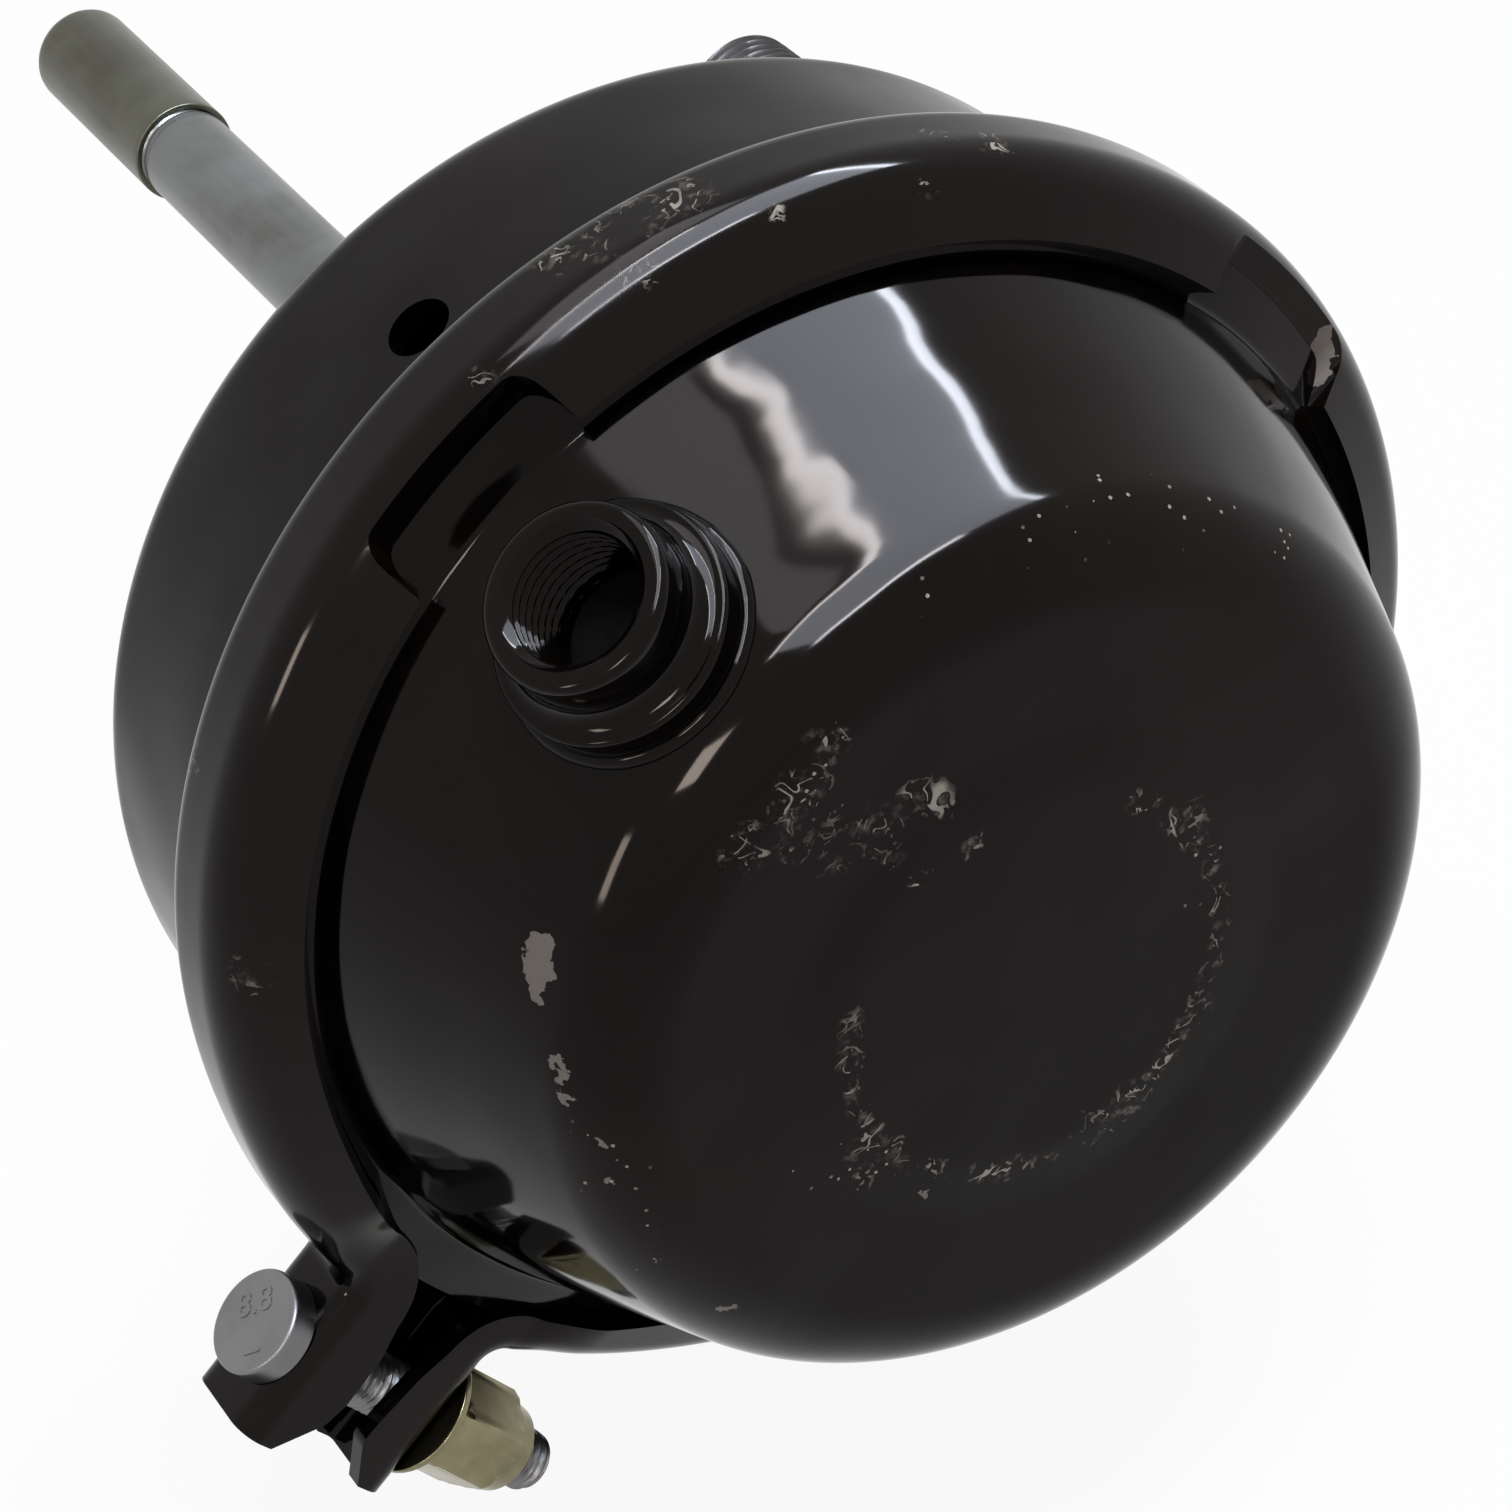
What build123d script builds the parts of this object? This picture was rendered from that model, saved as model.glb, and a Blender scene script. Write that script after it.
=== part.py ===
from build123d import *
import os
from math import atan2, cos, degrees, radians, sin, sqrt, tan

# Air brake chamber, type 16: a diaphragm service chamber with a one-bolt clamp ring.
# Millimetres. The chamber's axis is Y. The mounting face is y = 0, the push rod leaves it
# towards +Y, and the pressure housing is towards -Y. Depths run from the mounting face
# towards -Y. Clock angles turn from +X to +Z. Profiles are drawn with x as the radius.
os.makedirs("parts", exist_ok=True)

# --- whole chamber ---
joint_depth = 44.5  # middle of the clamped joint
front_depth = 93.3  # flat front of the pressure housing
fit_gap = 0.05  # between pieces that seat or run on each other
body_gap = 0.3  # between pieces that only lie near each other

# --- clamp ring, a V-section band of bent sheet ---
clamp_outer_r = 81.4
clamp_sheet = 2.5
clamp_bend_r = 0.8  # inside radius of its bends
clamp_flat = 12.8  # width of the flat outer wall
clamp_leg_angle = 27.0  # of the legs from a plane across the axis
clamp_front_leg = 8.8  # how far the legs reach in from the outer wall
clamp_rear_leg = 5.0
clamp_front_lip_r = clamp_outer_r - clamp_front_leg
clamp_rear_lip_r = clamp_outer_r - clamp_rear_leg
notch_clock = 40.5  # relief notches in both legs, a quarter turn apart
notch_count = 2
notch_width = 26.0
notch_bite = 0.2  # how far a notch reaches into the outer wall
notch_web = clamp_flat - 2 * notch_bite
notch_corner_r = 2.5

# --- clamp fasteners ---
bolt_r = 4.0
bolt_head_rim = 2.7  # of the head beyond the shank
bolt_head_r = bolt_r + bolt_head_rim
bolt_head_height = 3.7
bolt_head_edge = 0.5
bolt_hole_gap = 0.4
bolt_hole_r = bolt_r + bolt_hole_gap
bolt_end = 5.7  # beyond the nut
washer_rim = 5.0  # of the washer beyond the shank
washer_r = bolt_r + washer_rim
washer_top_rim = 2.2
washer_top_r = bolt_r + washer_top_rim
washer_height = 3.2
washer_edge = 0.9
nut_wall = 2.5  # of the nut beyond the shank, at its flats
nut_flats = 2 * (bolt_r + nut_wall)
nut_height = 11.0
nut_crown = 3.6
nut_crown_taper = 0.9
nut_crown_r = nut_flats / 2 - nut_crown_taper

# --- clamp lugs, channels folded outwards at the band's two ends ---
lug_clock = 225.0
bolt_side_gap = 0.5  # between the bolt and a lug's legs
lug_width = 2 * (bolt_r + bolt_side_gap + clamp_sheet)
lug_gap = 6.2  # between the free edges of the two lugs
lug_depth = 9.6
lug_face = lug_gap / 2 + lug_depth  # from the gap's middle to each lug's seating face
lug_height = 23.0  # beyond the outer wall
lug_outer_r = clamp_outer_r + lug_height
lug_corner_r = 3.0
lug_foot_r = 2.5  # outside bend between the band and a lug
lug_flat = 5.0  # flat end of a lug, before its slope
lug_slope_drop = 5.5
lug_slope_r = lug_outer_r - lug_slope_drop  # where that slope reaches the gap
washer_inset = 1.7  # from the lugs' ends to the washer
bolt_radius = lug_outer_r - washer_inset - washer_r
gap_flare = 2.8  # from the bolt's axis in to where the gap widens
gap_flare_r = bolt_radius - gap_flare
gap_lip_flare = 6.4  # how much each side of the gap widens by the front lip
gap_lip_width = lug_gap + 2 * gap_lip_flare
bolt_length = 2 * lug_face + washer_height + nut_height + nut_crown + bolt_end  # below the head

# --- pressure housing ---
flange_gap = 1.0  # from the flanges' edges to the clamp's outer wall
flange_r = clamp_outer_r - clamp_sheet - flange_gap
front_flange = 4.1  # from the flange's edge in to the cone
front_cone_angle = 21.4
front_sheet = 2.5
front_shoulder_r = 10.5  # inside radii of its bends
front_root_r = 2.0
disc_r = 27.5
disc_rise = 0.5
disc_slope = 3.0
disc_bend_r = 3.0

# --- rear housing ---
rear_flange = 4.2
rear_wall_r = flange_r - rear_flange
rear_sheet = 3.0
rear_corner_r = 2.5  # inside radii of its bends
rear_root_r = 3.0
rod_r = 7.0
rod_hole_gap = 8.0  # around the push rod
rod_hole_r = rod_r + rod_hole_gap
drain_clock = 34.0
drain_count = 4
drain_r = 4.0
drain_depth = 25.5

# --- air port ---
port_clock = 131.2
port_low = 4.1  # where the port's axis meets the cone, beyond halfway from the joint to the front
port_depth = (joint_depth + front_depth) / 2 + port_low
port_tilt = 16.0  # of the port's axis, from straight out towards the front
port_height = 12.0
port_bore_r = 7.25  # inner radius of the M16 x 1.5 thread
port_wall = 3.55
port_r = port_bore_r + port_wall
port_collar_step = 2.6
port_collar_r = port_r + port_collar_step
port_collar = 4.4
port_root_r = 2.0  # inside bend from the neck to the collar
port_hole_gap = 0.6  # around the thread, through the housing
port_edge_r = 1.1
port_collar_edge_r = 0.5
port_mouth = 1.05  # the bevel at the thread's mouth
port_mouth_r = port_bore_r + port_mouth
weld_width = 1.8
weld_height = 1.1

# --- mounting studs ---
stud_inset = 13.375  # from the rear wall to a stud's axis, for the standard 120.65 spacing
stud_circle_r = rear_wall_r - stud_inset
stud_clock = 64.5
stud_r = 8.0
stud_length = 21.0  # beyond the mounting face
stud_chamfer = 1.2
stud_shoulder = 0.6  # of the pressed shoulder beyond the thread
stud_head_rim = 4.0
stud_head_r = stud_r + stud_head_rim
stud_head = 4.5

# --- inside the rear housing ---
disc_plate_gap = 1.525  # from the stiffening disc to the studs' heads
disc_plate_r = stud_circle_r - stud_head_r - disc_plate_gap
disc_plate = 3.0
seat_inset = 1.0  # spring seat, raised in the middle over the dust washer
seat_r = disc_plate_r - seat_inset
seat_sheet = 1.2
seat_hole_gap = 5.0
seat_hole_r = rod_r + seat_hole_gap
dust_washer_lap = 6.0  # over the rod's hole
dust_washer_r = rod_hole_r + dust_washer_lap
seat_raised_gap = 3.0
seat_raised_r = dust_washer_r + seat_raised_gap
dust_washer = 2.5

# --- push rod ---
rod_tip = 180.0  # the rod's end beyond the mounting face
rod_chamfer = 1.5
thread_relief = 0.1  # the thread's crests below the plain bar
thread_r = rod_r - thread_relief
thread_length = 39.5
hub_wall = 6.5
hub_r = rod_r + hub_wall
hub_height = 10.0
hub_weld_size = 2.0
hub_slope = 3.5
push_plate_gap = 2.14  # to the diaphragm's wall
push_plate_sheet = 3.0
push_plate_rim = 9.0
push_plate_bend_r = 4.0

# --- thread cap on the rod's end ---
cap_wall = 0.75
cap_end = 1.2
cap_stop = 1.2  # from the cap's mouth to the end of the thread
cap_cover = thread_length - cap_stop
cap_edge_r = 1.6

# --- diaphragm ---
diaphragm_sheet = 3.0
diaphragm_gap = 0.5  # to the pressure housing's inside
bead_inset = 0.5  # from the flanges' edges
bead_width = 3.8
bead_outer_r = flange_r - bead_inset
bead_inner_r = bead_outer_r - bead_width
bead_step = 2.0

# --- return spring, wide at the rear housing and narrow at the push plate ---
wire_r = 2.2
spring_seat_inset = 2.1  # from the seat's edge to the wire
spring_wide_r = seat_r - spring_seat_inset - wire_r
spring_hub_gap = 4.3  # from the hub to the wire
spring_narrow_r = hub_r + spring_hub_gap + wire_r
spring_turns = 5.0

# --- values that several pieces share ---
joint_y = -joint_depth
front_y = -front_depth
leg_slope = tan(radians(clamp_leg_angle))
leg_cut = 1 / cos(radians(clamp_leg_angle))
cone_slope = tan(radians(front_cone_angle))
cone_cut = 1 / cos(radians(front_cone_angle))
disc_plate_y = -rear_sheet - disc_plate
plate_front_y = front_y + front_sheet + diaphragm_gap + diaphragm_sheet + body_gap
plate_back_y = plate_front_y + push_plate_sheet


def clamp_half(radius):
    """Half the clamp's outside width at a radius."""
    return clamp_flat / 2 + (clamp_outer_r - radius) * leg_slope


def flange_half(radius):
    """Half the width over the two clamped flanges at a radius."""
    return clamp_half(radius) - clamp_sheet * leg_cut - fit_gap


def bead_front(radius):
    """Depth of the bead's front face below the joint at a radius."""
    return flange_half(radius) - front_sheet * leg_cut - fit_gap


def bead_rear(radius):
    """Height of the bead's rear face above the joint at a radius."""
    return flange_half(radius) - rear_sheet * leg_cut - fit_gap


def cone_r(y):
    """Outside radius of the pressure housing's cone."""
    return flange_r - front_flange + (y - joint_y) * cone_slope


front_corner_at = cone_r(front_y)  # where the cone would meet the flat front
push_plate_r = cone_r(plate_front_y) - (front_sheet + diaphragm_gap + diaphragm_sheet) * cone_cut - push_plate_gap


def cone_meets(layer, zero_half):
    """Radius where a layer inside the cone meets a layer of the front flange."""
    reach = cone_r(joint_y) - layer * cone_cut
    return (reach - cone_slope * zero_half) / (1 - cone_slope * leg_slope)


def spoke(clock):
    """Unit vector straight out from the axis at a clock angle."""
    return Vector(cos(radians(clock)), 0, sin(radians(clock)))


# the port's axis leans towards the front, so that the boss stands nearly square on the cone
port_out = spoke(port_clock) * cos(radians(port_tilt)) - Vector(0, sin(radians(port_tilt)), 0)
port_foot = spoke(port_clock) * cone_r(-port_depth) - Vector(0, port_depth, 0)
port_plane = Plane(origin=port_foot, x_dir=spoke(port_clock + 90), z_dir=port_out)

# across the axis at the joint: x runs from lug to lug, and y straight out between them
lug_plane = Plane(origin=(0, joint_y, 0), x_dir=spoke(lug_clock + 90), z_dir=(0, 1, 0))
# the bolt's axis is this plane's normal, which points from the head to the nut
bolt_plane = Plane(
    origin=spoke(lug_clock) * bolt_radius + Vector(0, joint_y, 0),
    x_dir=spoke(lug_clock),
    z_dir=spoke(lug_clock + 90),
)


# --- pressure housing: a drawn bowl with a conical wall and a raised middle ---
root_r = cone_meets(0, flange_half(0))
with BuildPart() as pressure_housing:
    with BuildSketch(Plane.XY):
        with BuildLine():
            FilletPolyline(
                (flange_r, joint_y - flange_half(flange_r)),
                (root_r, joint_y - flange_half(root_r)),
                (front_corner_at, front_y),
                (disc_r + disc_slope, front_y),
                (disc_r, front_y - disc_rise),
                (0, front_y - disc_rise),
                radius=[front_root_r, front_shoulder_r + front_sheet, disc_bend_r, disc_bend_r + front_sheet],
            )
            offset(amount=front_sheet, side=Side.RIGHT)
        make_face()
    revolve(axis=Axis.Y)
    with BuildSketch(port_plane.offset(front_sheet)):
        Circle(port_bore_r + port_hole_gap)
    extrude(amount=-3 * front_sheet, mode=Mode.SUBTRACT)
pressure_housing.part.label = "pressure_housing"


# --- port boss: a turned collar and neck, seated on the cone and bored for the thread ---
with BuildPart() as port_boss:
    with BuildSketch(port_plane.offset(-port_collar_r / 2)):
        Circle(port_collar_r)
    extrude(amount=port_collar_r / 2 + port_collar)
    with BuildSketch(port_plane.offset(port_collar)):
        Circle(port_r)
    extrude(amount=port_height - port_collar)
    rings = edges().filter_by(GeomType.CIRCLE).sort_by(Axis(port_foot, port_out))
    fillet(rings[-1], port_edge_r)
    step_rings = edges().filter_by(GeomType.CIRCLE).filter_by(
        lambda edge: abs(port_plane.to_local_coords(edge.center()).Z - port_collar) < fit_gap
    )
    fillet(step_rings.sort_by(SortBy.RADIUS)[0], port_root_r)
    fillet(
        edges()
        .filter_by(GeomType.CIRCLE)
        .filter_by(lambda edge: abs(port_plane.to_local_coords(edge.center()).Z - port_collar) < fit_gap)
        .sort_by(SortBy.RADIUS)[-1],
        port_collar_edge_r,
    )
    with BuildSketch(Plane.XY):
        with BuildLine():
            Polyline(
                (0, joint_y),
                (cone_r(joint_y), joint_y),
                (front_corner_at, front_y),
                (0, front_y),
                close=True,
            )
        make_face()
    revolve(axis=Axis.Y, mode=Mode.SUBTRACT)
    with BuildSketch(port_plane.offset(port_height)):
        Circle(port_bore_r)
    extrude(amount=-2 * port_height, mode=Mode.SUBTRACT)
    with Locations(port_plane.offset(port_height)):
        CounterSinkHole(port_bore_r, port_mouth_r, depth=port_height, counter_sink_angle=90)
port_boss.part.label = "port_boss"


# --- port weld: a low ring that follows the cone around the boss ---
with BuildPart() as port_weld:
    with BuildSketch(Plane.XY):
        with BuildLine():
            Polyline(
                (cone_r(joint_y), joint_y),
                (cone_r(joint_y) + weld_height * cone_cut, joint_y),
                (front_corner_at + weld_height * cone_cut, front_y),
                (front_corner_at, front_y),
                close=True,
            )
        make_face()
    revolve(axis=Axis.Y)
    with BuildSketch(port_plane.offset(-port_collar_r / 2)):
        Circle(port_collar_r + weld_width)
        Circle(port_collar_r, mode=Mode.SUBTRACT)
    extrude(amount=port_collar_r, mode=Mode.INTERSECT)
port_weld.part.label = "port_weld"


# --- rear housing: a drawn cup with the mounting face, rod hole and drain holes ---
with BuildPart() as rear_housing:
    with BuildSketch(Plane.XY):
        with BuildLine():
            FilletPolyline(
                (flange_r, joint_y + flange_half(flange_r)),
                (rear_wall_r, joint_y + flange_half(rear_wall_r)),
                (rear_wall_r, 0),
                (rod_hole_r, 0),
                radius=[rear_root_r, rear_corner_r + rear_sheet],
            )
            offset(amount=rear_sheet, side=Side.LEFT)
        make_face()
    revolve(axis=Axis.Y)
    with BuildSketch(Plane.XZ):
        with PolarLocations(stud_circle_r, 2, start_angle=stud_clock):
            Circle(stud_r + stud_shoulder + fit_gap)
    extrude(amount=2 * rear_sheet, mode=Mode.SUBTRACT)
    for quarter in range(drain_count):
        drain_plane = Plane(
            origin=(0, -drain_depth, 0),
            x_dir=(0, 1, 0),
            z_dir=spoke(drain_clock + quarter * 360 / drain_count),
        )
        with BuildSketch(drain_plane.offset(rear_wall_r + rear_sheet)):
            Circle(drain_r)
        extrude(amount=-3 * rear_sheet, mode=Mode.SUBTRACT)
rear_housing.part.label = "rear_housing"


# --- diaphragm: a rubber cup that lines the bowl, with a wedge bead between the flanges ---
outer_layer = front_sheet + diaphragm_gap
inner_layer = outer_layer + diaphragm_sheet
bead_zero = bead_front(0)
neck_zero = bead_zero - diaphragm_sheet * leg_cut
outer_root_r = cone_meets(outer_layer, bead_zero)
inner_root_r = cone_meets(inner_layer, neck_zero)
diaphragm_y = front_y + outer_layer
with BuildPart() as diaphragm:
    with BuildSketch(Plane.XY):
        with BuildLine():
            FilletPolyline(
                (0, diaphragm_y + diaphragm_sheet),
                (cone_r(diaphragm_y + diaphragm_sheet) - inner_layer * cone_cut, diaphragm_y + diaphragm_sheet),
                (inner_root_r, joint_y - neck_zero + inner_root_r * leg_slope),
                (bead_inner_r - bead_step, joint_y - neck_zero + (bead_inner_r - bead_step) * leg_slope),
                (bead_inner_r, joint_y + bead_rear(bead_inner_r)),
                (bead_outer_r, joint_y + bead_rear(bead_outer_r)),
                (bead_outer_r, joint_y - bead_front(bead_outer_r)),
                (outer_root_r, joint_y - bead_front(outer_root_r)),
                (cone_r(diaphragm_y) - outer_layer * cone_cut, diaphragm_y),
                (0, diaphragm_y),
                radius=[
                    front_shoulder_r - diaphragm_gap - diaphragm_sheet,
                    front_root_r + outer_layer + diaphragm_sheet,
                    0,
                    0,
                    0,
                    0,
                    front_root_r + outer_layer,
                    front_shoulder_r - diaphragm_gap,
                ],
            )
            Line((0, diaphragm_y), (0, diaphragm_y + diaphragm_sheet))
        make_face()
    revolve(axis=Axis.Y)
diaphragm.part.label = "diaphragm"


# --- one lug pair, solid: the channels' outer form before it is hollowed and parted ---
lug_foot_s = lug_face + lug_foot_r
lug_foot_p = sqrt((clamp_outer_r + lug_foot_r) ** 2 - lug_foot_s**2)
foot_share = clamp_outer_r / (clamp_outer_r + lug_foot_r)
hollow_share = (clamp_outer_r - clamp_sheet) / (clamp_outer_r + lug_foot_r)
with BuildPart() as lug_form:
    with BuildSketch(lug_plane):
        with BuildLine():
            Polyline(
                (-lug_face, lug_foot_p),
                (-lug_face, lug_outer_r),
                (lug_face, lug_outer_r),
                (lug_face, lug_foot_p),
            )
            RadiusArc(
                (lug_face, lug_foot_p),
                (lug_foot_s * foot_share, lug_foot_p * foot_share),
                -lug_foot_r,
            )
            RadiusArc(
                (-lug_face, lug_foot_p),
                (-lug_foot_s * foot_share, lug_foot_p * foot_share),
                lug_foot_r,
            )
            Polyline(
                (-lug_foot_s * foot_share, lug_foot_p * foot_share),
                (-lug_foot_s * hollow_share, lug_foot_p * hollow_share),
                (lug_foot_s * hollow_share, lug_foot_p * hollow_share),
                (lug_foot_s * foot_share, lug_foot_p * foot_share),
            )
        make_face()
    extrude(amount=lug_width / 2, both=True)
    end_edges = edges().filter_by(Axis.Y).filter_by(
        lambda edge: lug_plane.to_local_coords(edge.center()).Y > bolt_radius
    )
    fillet(end_edges, lug_corner_r)
    bend_edges = edges().filter_by(
        lambda edge: abs(abs(edge.center().Y - joint_y) - lug_width / 2) < 0.001
        and abs(lug_plane.to_local_coords(edge.center()).X) > lug_face - 0.001
    )
    fillet(bend_edges, clamp_bend_r + clamp_sheet)


# --- clamp ring: the V band with its lugs hollowed, the gap cut, and the notches ---
with BuildPart() as clamp_band:
    with BuildSketch(Plane.XY):
        with BuildLine():
            FilletPolyline(
                (clamp_front_lip_r, joint_y - clamp_half(clamp_front_lip_r)),
                (clamp_outer_r, joint_y - clamp_flat / 2),
                (clamp_outer_r, joint_y + clamp_flat / 2),
                (clamp_rear_lip_r, joint_y + clamp_half(clamp_rear_lip_r)),
                radius=clamp_bend_r + clamp_sheet,
            )
            offset(amount=clamp_sheet, side=Side.LEFT)
        make_face()
    revolve(axis=Axis.Y)
    add(lug_form.part)
    # inside the two channels and through the outer wall between them
    with BuildSketch(lug_plane):
        with BuildLine():
            hollow_s = lug_face - clamp_sheet
            Polyline(
                (-hollow_s, lug_foot_p),
                (-hollow_s, lug_outer_r + clamp_sheet),
                (hollow_s, lug_outer_r + clamp_sheet),
                (hollow_s, lug_foot_p),
            )
            RadiusArc(
                (hollow_s, lug_foot_p),
                (lug_foot_s * hollow_share, lug_foot_p * hollow_share),
                -lug_foot_r - clamp_sheet,
            )
            RadiusArc(
                (-hollow_s, lug_foot_p),
                (-lug_foot_s * hollow_share, lug_foot_p * hollow_share),
                lug_foot_r + clamp_sheet,
            )
            Polyline(
                (-lug_foot_s * hollow_share, lug_foot_p * hollow_share),
                (-lug_foot_s * hollow_share, flange_r - clamp_sheet),
                (lug_foot_s * hollow_share, flange_r - clamp_sheet),
                (lug_foot_s * hollow_share, lug_foot_p * hollow_share),
            )
        make_face()
    extrude(amount=lug_width / 2 - clamp_sheet, both=True, mode=Mode.SUBTRACT)
    # the gap between the lugs, flared at the lips and sloped at the lugs' ends
    with BuildSketch(lug_plane):
        with BuildLine():
            Polyline(
                (-lug_face + lug_flat, lug_outer_r + clamp_sheet),
                (-lug_face + lug_flat, lug_outer_r),
                (-lug_gap / 2, lug_slope_r),
                (-lug_gap / 2, gap_flare_r),
                (-gap_lip_width / 2, clamp_front_lip_r - clamp_sheet),
                (gap_lip_width / 2, clamp_front_lip_r - clamp_sheet),
                (lug_gap / 2, gap_flare_r),
                (lug_gap / 2, lug_slope_r),
                (lug_face - lug_flat, lug_outer_r),
                (lug_face - lug_flat, lug_outer_r + clamp_sheet),
                close=True,
            )
        make_face()
    extrude(amount=clamp_half(clamp_front_lip_r), both=True, mode=Mode.SUBTRACT)
    # bolt holes through both ears
    with BuildSketch(bolt_plane):
        Circle(bolt_hole_r)
    extrude(amount=lug_face + clamp_sheet, both=True, mode=Mode.SUBTRACT)
    # relief notches through both legs
    notch_reach = clamp_half(clamp_front_lip_r) - notch_web / 2 + clamp_sheet
    for quarter in range(notch_count):
        notch_plane = Plane(
            origin=(0, joint_y, 0),
            x_dir=(0, 1, 0),
            z_dir=spoke(notch_clock + quarter * 90),
        )
        with BuildSketch(notch_plane.offset(clamp_front_lip_r - 2 * clamp_sheet)):
            with Locations(
                (notch_web / 2 + notch_reach / 2, 0),
                (-notch_web / 2 - notch_reach / 2, 0),
            ):
                RectangleRounded(notch_reach, notch_width, notch_corner_r)
        extrude(amount=clamp_outer_r - clamp_front_lip_r + 3 * clamp_sheet, mode=Mode.SUBTRACT)
clamp_band.part.label = "clamp_band"


# --- clamp bolt: a round flat head and a long shank through both lugs ---
with BuildPart() as clamp_bolt:
    with BuildSketch(bolt_plane.offset(-lug_face)):
        Circle(bolt_head_r)
    extrude(amount=-bolt_head_height)
    head_rims = faces().filter_by(GeomType.CYLINDER)[0].edges().filter_by(GeomType.CIRCLE)
    fillet(head_rims, bolt_head_edge)
    with BuildSketch(bolt_plane.offset(-lug_face)):
        Circle(bolt_r)
    extrude(amount=bolt_length)
    tip = bolt_plane.offset(bolt_length - lug_face)
    chamfer(edges().filter_by(GeomType.CIRCLE).sort_by_distance(tip.origin)[0], bolt_head_edge)
clamp_bolt.part.label = "clamp_bolt"


# --- clamp washer: a dished spring washer under the nut ---
with BuildPart() as clamp_washer:
    with BuildSketch(bolt_plane.offset(lug_face)):
        Circle(washer_r)
    extrude(amount=washer_edge)
    with BuildSketch(bolt_plane.offset(lug_face + washer_edge)):
        Circle(washer_r)
    with BuildSketch(bolt_plane.offset(lug_face + washer_height)):
        Circle(washer_top_r)
    loft()
    with BuildSketch(bolt_plane.offset(lug_face)):
        Circle(bolt_r + fit_gap)
    extrude(amount=washer_height, mode=Mode.SUBTRACT)
clamp_washer.part.label = "clamp_washer"


# --- clamp nut: a hexagon with a round crown ---
with BuildPart() as clamp_nut:
    with BuildSketch(bolt_plane.offset(lug_face + washer_height)):
        RegularPolygon(radius=nut_flats / 2, side_count=6, major_radius=False)
    extrude(amount=nut_height)
    with BuildSketch(bolt_plane.offset(lug_face + washer_height + nut_height)):
        Circle(nut_flats / 2)
    with BuildSketch(bolt_plane.offset(lug_face + washer_height + nut_height + nut_crown)):
        Circle(nut_crown_r)
    loft()
    with BuildSketch(bolt_plane.offset(lug_face)):
        Circle(bolt_r + fit_gap)
    extrude(amount=washer_height + nut_height + nut_crown, mode=Mode.SUBTRACT)
clamp_nut.part.label = "clamp_nut"


# --- mounting studs: shanks through the rear housing, with heads flatted to clear its bend ---
with BuildPart() as mounting_studs:
    head_flat_r = rear_wall_r - rear_sheet - rear_corner_r - body_gap
    with BuildSketch(Plane.XZ.offset(rear_sheet)):
        with PolarLocations(stud_circle_r, 2, start_angle=stud_clock):
            Circle(stud_head_r)
        Circle(head_flat_r, mode=Mode.INTERSECT)
    extrude(amount=stud_head)
    with BuildSketch(Plane.XZ.offset(rear_sheet)):
        with PolarLocations(stud_circle_r, 2, start_angle=stud_clock):
            Circle(stud_r + stud_shoulder)
    extrude(amount=-rear_sheet)
    with BuildSketch(Plane.XZ):
        with PolarLocations(stud_circle_r, 2, start_angle=stud_clock):
            Circle(stud_r)
    extrude(amount=-stud_length)
    tips = edges().filter_by(GeomType.CIRCLE).group_by(Axis.Y)[-1]
    chamfer(tips, stud_chamfer)
mounting_studs.part.label = "mounting_studs"


# --- stiffening disc: backs the rear face between the studs' heads ---
with BuildPart() as stiffening_disc:
    with BuildSketch(Plane.XZ.offset(rear_sheet)):
        Circle(disc_plate_r)
        Circle(rod_hole_r, mode=Mode.SUBTRACT)
    extrude(amount=disc_plate)
stiffening_disc.part.label = "stiffening_disc"


# --- dust washer: the ring that the push rod runs through ---
with BuildPart() as rod_washer:
    with BuildSketch(Plane.XZ.offset(rear_sheet + disc_plate)):
        Circle(dust_washer_r)
        Circle(rod_r + fit_gap, mode=Mode.SUBTRACT)
    extrude(amount=dust_washer)
rod_washer.part.label = "dust_washer"


# --- spring seat: a pressed ring, raised in the middle to hold the dust washer ---
with BuildPart() as spring_seat:
    with BuildSketch(Plane.XY):
        with BuildLine():
            Polyline(
                (seat_r, disc_plate_y),
                (seat_raised_r, disc_plate_y),
                (seat_raised_r, disc_plate_y - dust_washer),
                (seat_hole_r, disc_plate_y - dust_washer),
            )
            offset(amount=seat_sheet, side=Side.LEFT)
        make_face()
    revolve(axis=Axis.Y)
spring_seat.part.label = "spring_seat"


# --- return spring: a conical coil between the seat and the push plate ---
spring_rear_y = disc_plate_y - seat_sheet - wire_r
spring_front_y = plate_back_y + wire_r
spring_height = spring_rear_y - spring_front_y
spring_angle = degrees(atan2(spring_wide_r - spring_narrow_r, spring_height))
with BuildPart() as return_spring:
    with BuildLine() as coil:
        Helix(
            pitch=spring_height / spring_turns,
            height=spring_height,
            radius=spring_narrow_r,
            center=(0, spring_front_y, 0),
            direction=(0, 1, 0),
            cone_angle=spring_angle,
        )
    with BuildSketch(Plane(origin=coil.line @ 0, z_dir=coil.line % 0)):
        Circle(wire_r)
    sweep(is_frenet=True)
return_spring.part.label = "return_spring"


# --- push plate: a pressed disc whose rim turns back around the spring ---
with BuildPart() as push_plate:
    with BuildSketch(Plane.XY):
        with BuildLine():
            FilletPolyline(
                (0, plate_front_y),
                (push_plate_r, plate_front_y),
                (push_plate_r, plate_front_y + push_plate_rim),
                radius=push_plate_bend_r + push_plate_sheet,
            )
            offset(amount=push_plate_sheet, side=Side.LEFT)
        make_face()
    revolve(axis=Axis.Y)
push_plate.part.label = "push_plate"


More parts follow.
